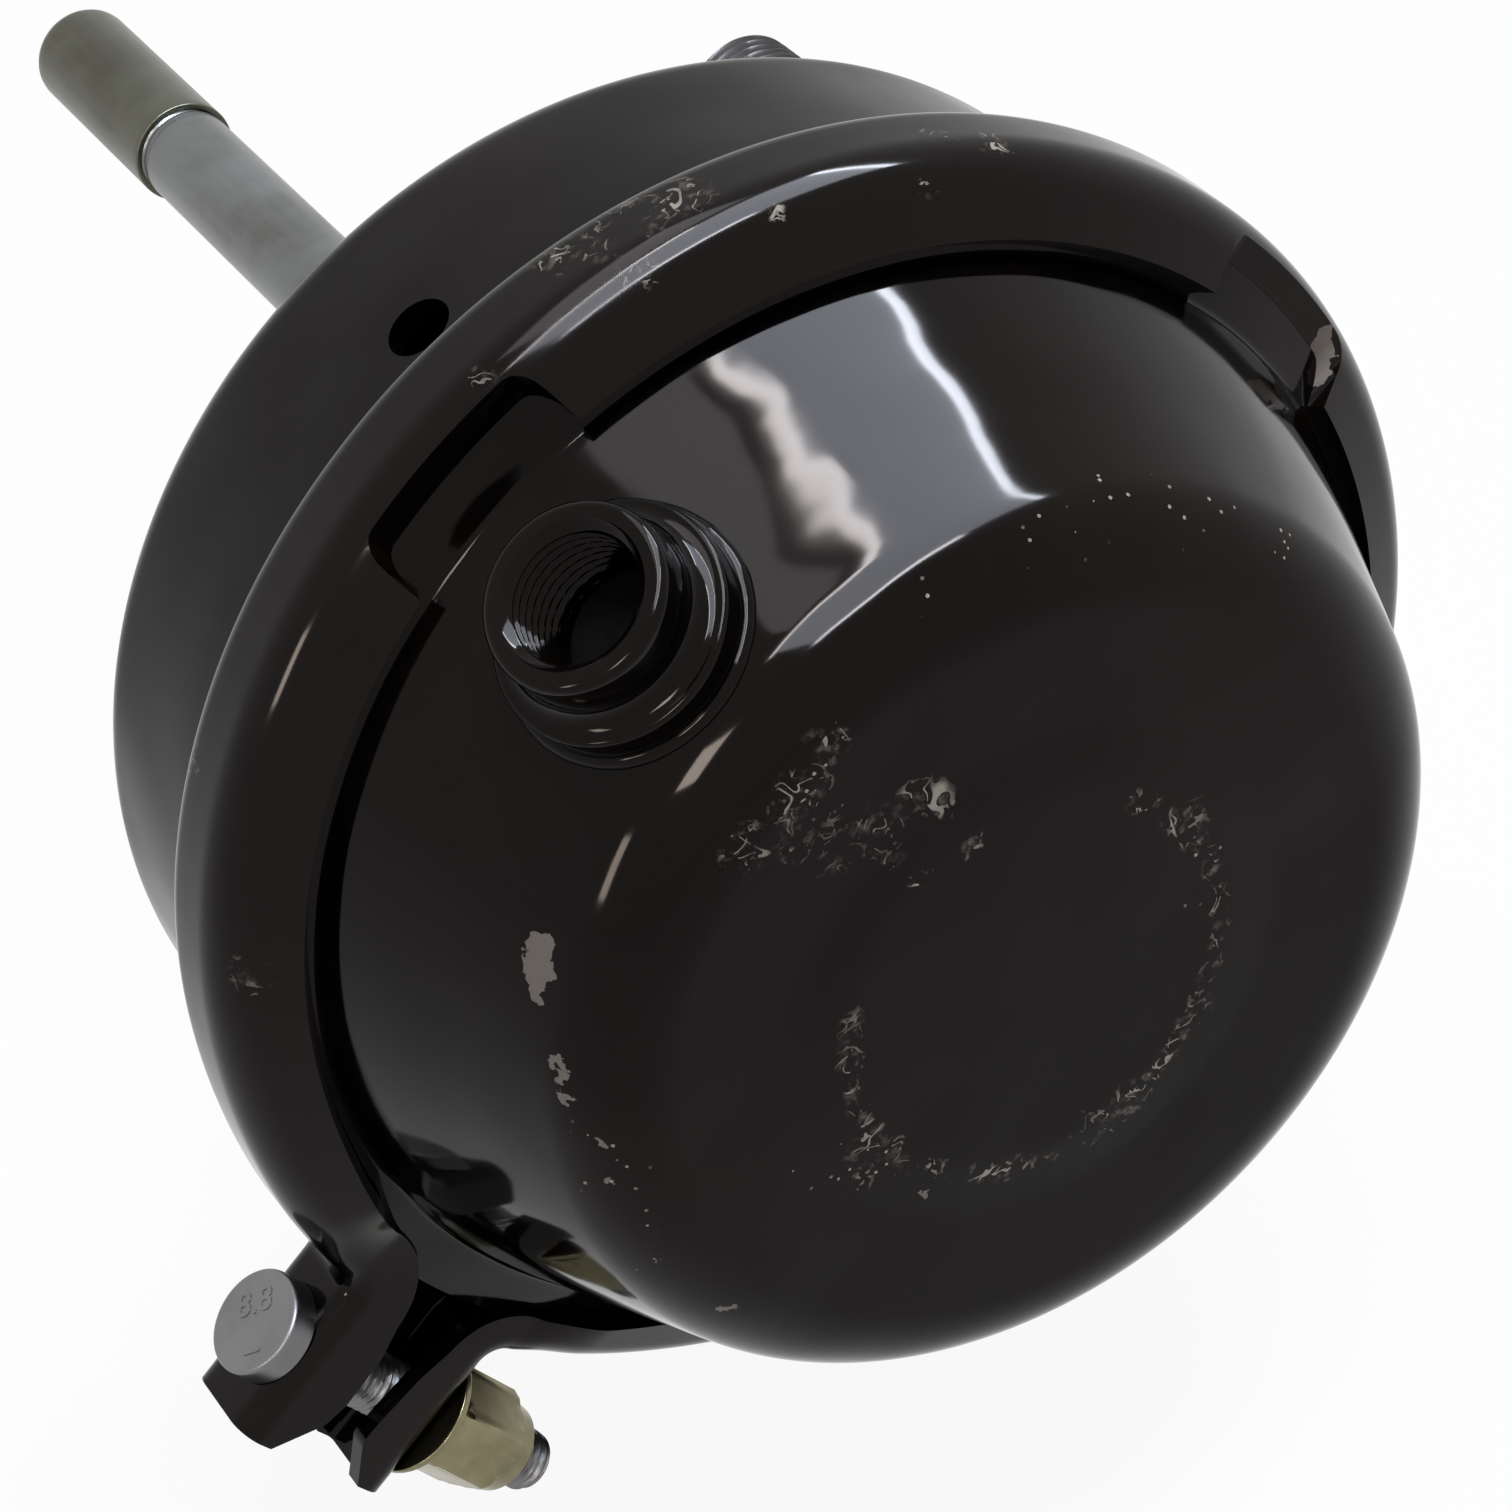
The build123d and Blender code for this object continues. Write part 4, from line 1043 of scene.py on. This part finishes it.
washer_loop = np.array([(washer_r, DISC_Y), (21.0, DISC_Y), (21.0, SEAT_Y), (washer_r, SEAT_Y)])
disc_loop = np.array([(ROD_HOLE_R, -REAR_SHEET), (DISC_R, -REAR_SHEET), (DISC_R, DISC_Y),
                      (ROD_HOLE_R, DISC_Y)])
for name, loop, node, body, finish in (
        ("pressed_plate", plate_loop, "push_plate", "push_rod", inner_steel),
        ("spring_ring", seat_loop, "spring_seat", "chamber", inner_steel),
        ("hub_ring", hub_loop, "rod_hub", "push_rod", inner_steel),
        ("hub_bead", hub_weld_loop, "hub_weld", "push_rod", inner_steel),
        ("wiper_ring", washer_loop, "dust_washer", "chamber", rubber_and_painted_shade),
        ("backing_disc", disc_loop, "stiffening_disc", "chamber", inner_steel)):
    piece = lathe(name, loop, finish, turns=128)
    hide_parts(node)
    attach(piece, body)

# %% [markdown]
# ## Floor and light
# A pale floor catches the shadow. Where the camera or a mirror-like surface looks at the
# floor or the world, it sees plain white, which Light Path's rays tell apart.

# %% Rays that see plain white


def share_white(tree, dim, white, surface, kinds, share=None):
    """Shows white instead of dim, wholly or by share, to the named kinds of ray."""
    rays = add(tree, "LightPath").outputs
    seen = rays[f"Is {kinds[0]} Ray"]
    for kind in kinds[1:]:
        seen = combine(tree, seen, rays[f"Is {kind} Ray"], "MAXIMUM")
    if share is not None:
        seen = combine(tree, seen, share)
    blend = add(tree, "MixShader", [(0, seen), (1, dim.outputs[0]), (2, white.outputs[0])])
    tree.links.new(blend.outputs[0], tree.nodes[surface].inputs["Surface"])


# %% Floor
low = min(corner[2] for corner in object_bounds())
floor_mesh = bpy.data.meshes.new("floor")
floor_mesh.from_pydata([(-8, -8, low), (8, -8, low), (8, 8, low), (-8, 8, low)], [], [(0, 1, 2, 3)])
floor = show("floor", floor_mesh)
floor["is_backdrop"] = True
floor_paint = bpy.data.materials.new("floor_paint")
floor_paint.use_nodes = True
tree = floor_paint.node_tree
pale = tree.nodes["Principled BSDF"]
pale.inputs["Base Color"].default_value = (0.86, 0.86, 0.86, 1)
pale.inputs["Roughness"].default_value = 0.9
glow = add(tree, "Emission", [("Color", (1, 1, 1, 1)), ("Strength", 1.0)])
share_white(tree, pale, glow, "Material Output", ("Camera", "Glossy"), 0.93)
floor_mesh.materials.append(floor_paint)

# %% World
world = bpy.data.worlds.new("studio")
bpy.context.scene.world = world
world.use_nodes = True
tree = world.node_tree
shade = tree.nodes["Background"]
shade.inputs["Color"].default_value = (0.85, 0.87, 0.9, 1)
shade.inputs["Strength"].default_value = 0.25
white = add(tree, "Background", [("Color", (1, 1, 1, 1)), ("Strength", 1.0)])
share_white(tree, shade, white, "World Output", ("Camera", "Transmission", "Glossy"))
bpy.context.scene.view_settings.view_transform = "Standard"


# %% Lamps
PART_MIDDLE = Vector((0, -0.06, 0))


def soft_lamp(name, at, size, turn_deg, radiance, tint=(1, 1, 1), level=True, gloss_only=True):
    """A rectangular lamp in metres with a power of radiance * pi * area. A level one shines
    down, and its long side is turned about Z by turn_deg. Any other faces the part. Gloss
    lamps shape only the reflections, and leave the plain level of light to the others."""
    data = bpy.data.lights.new(name, "AREA")
    data.shape = "RECTANGLE"
    data.size, data.size_y = size
    data.energy = radiance * np.pi * size[0] * size[1]
    data.color = tint
    lamp = show(name, data)
    lamp.location = at
    facing = (Vector(at) - PART_MIDDLE).to_track_quat("Z", "Y").to_euler()
    lamp.rotation_euler = (0, 0, np.radians(turn_deg)) if level else facing
    lamp.visible_diffuse = not gloss_only


# a ceiling window: one broad pane, three of its edges, which are brighter, and the next pane
PANE_TURN = 32
soft_lamp("pane", (0.08, -0.18, 1.5), (1.7, 0.6), PANE_TURN, 7.5, (0.93, 0.96, 1.0),
          gloss_only=False)
soft_lamp("pane_glare", (0.08, -0.18, 1.49), (1.7, 0.6), PANE_TURN, 8, (0.55, 0.76, 1.0))
soft_lamp("pane_end", (0.80, 0.27, 1.48), (0.08, 0.6), PANE_TURN, 80, (0.76, 0.87, 1.0))
soft_lamp("pane_side", (-0.10, -0.64, 1.48), (0.95, 0.05), PANE_TURN, 80, (0.82, 0.90, 1.0))
soft_lamp("pane_far_side", (-0.38, -0.11, 1.48), (1.1, 0.035), PANE_TURN, 65, (0.93, 0.97, 1.0))
soft_lamp("next_pane", (-0.26, 0.36, 1.5), (1.1, 0.5), PANE_TURN, 5, (0.88, 0.93, 1.0))
# two lit doorways beside the part
soft_lamp("door", (-1.05, -0.80, 0.77), (0.24, 0.24), 0, 26, (1.0, 0.97, 0.88), False)
soft_lamp("low_door", (-1.44, -0.34, 0.31), (0.16, 0.30), 0, 19, (1.0, 0.96, 0.86), False)
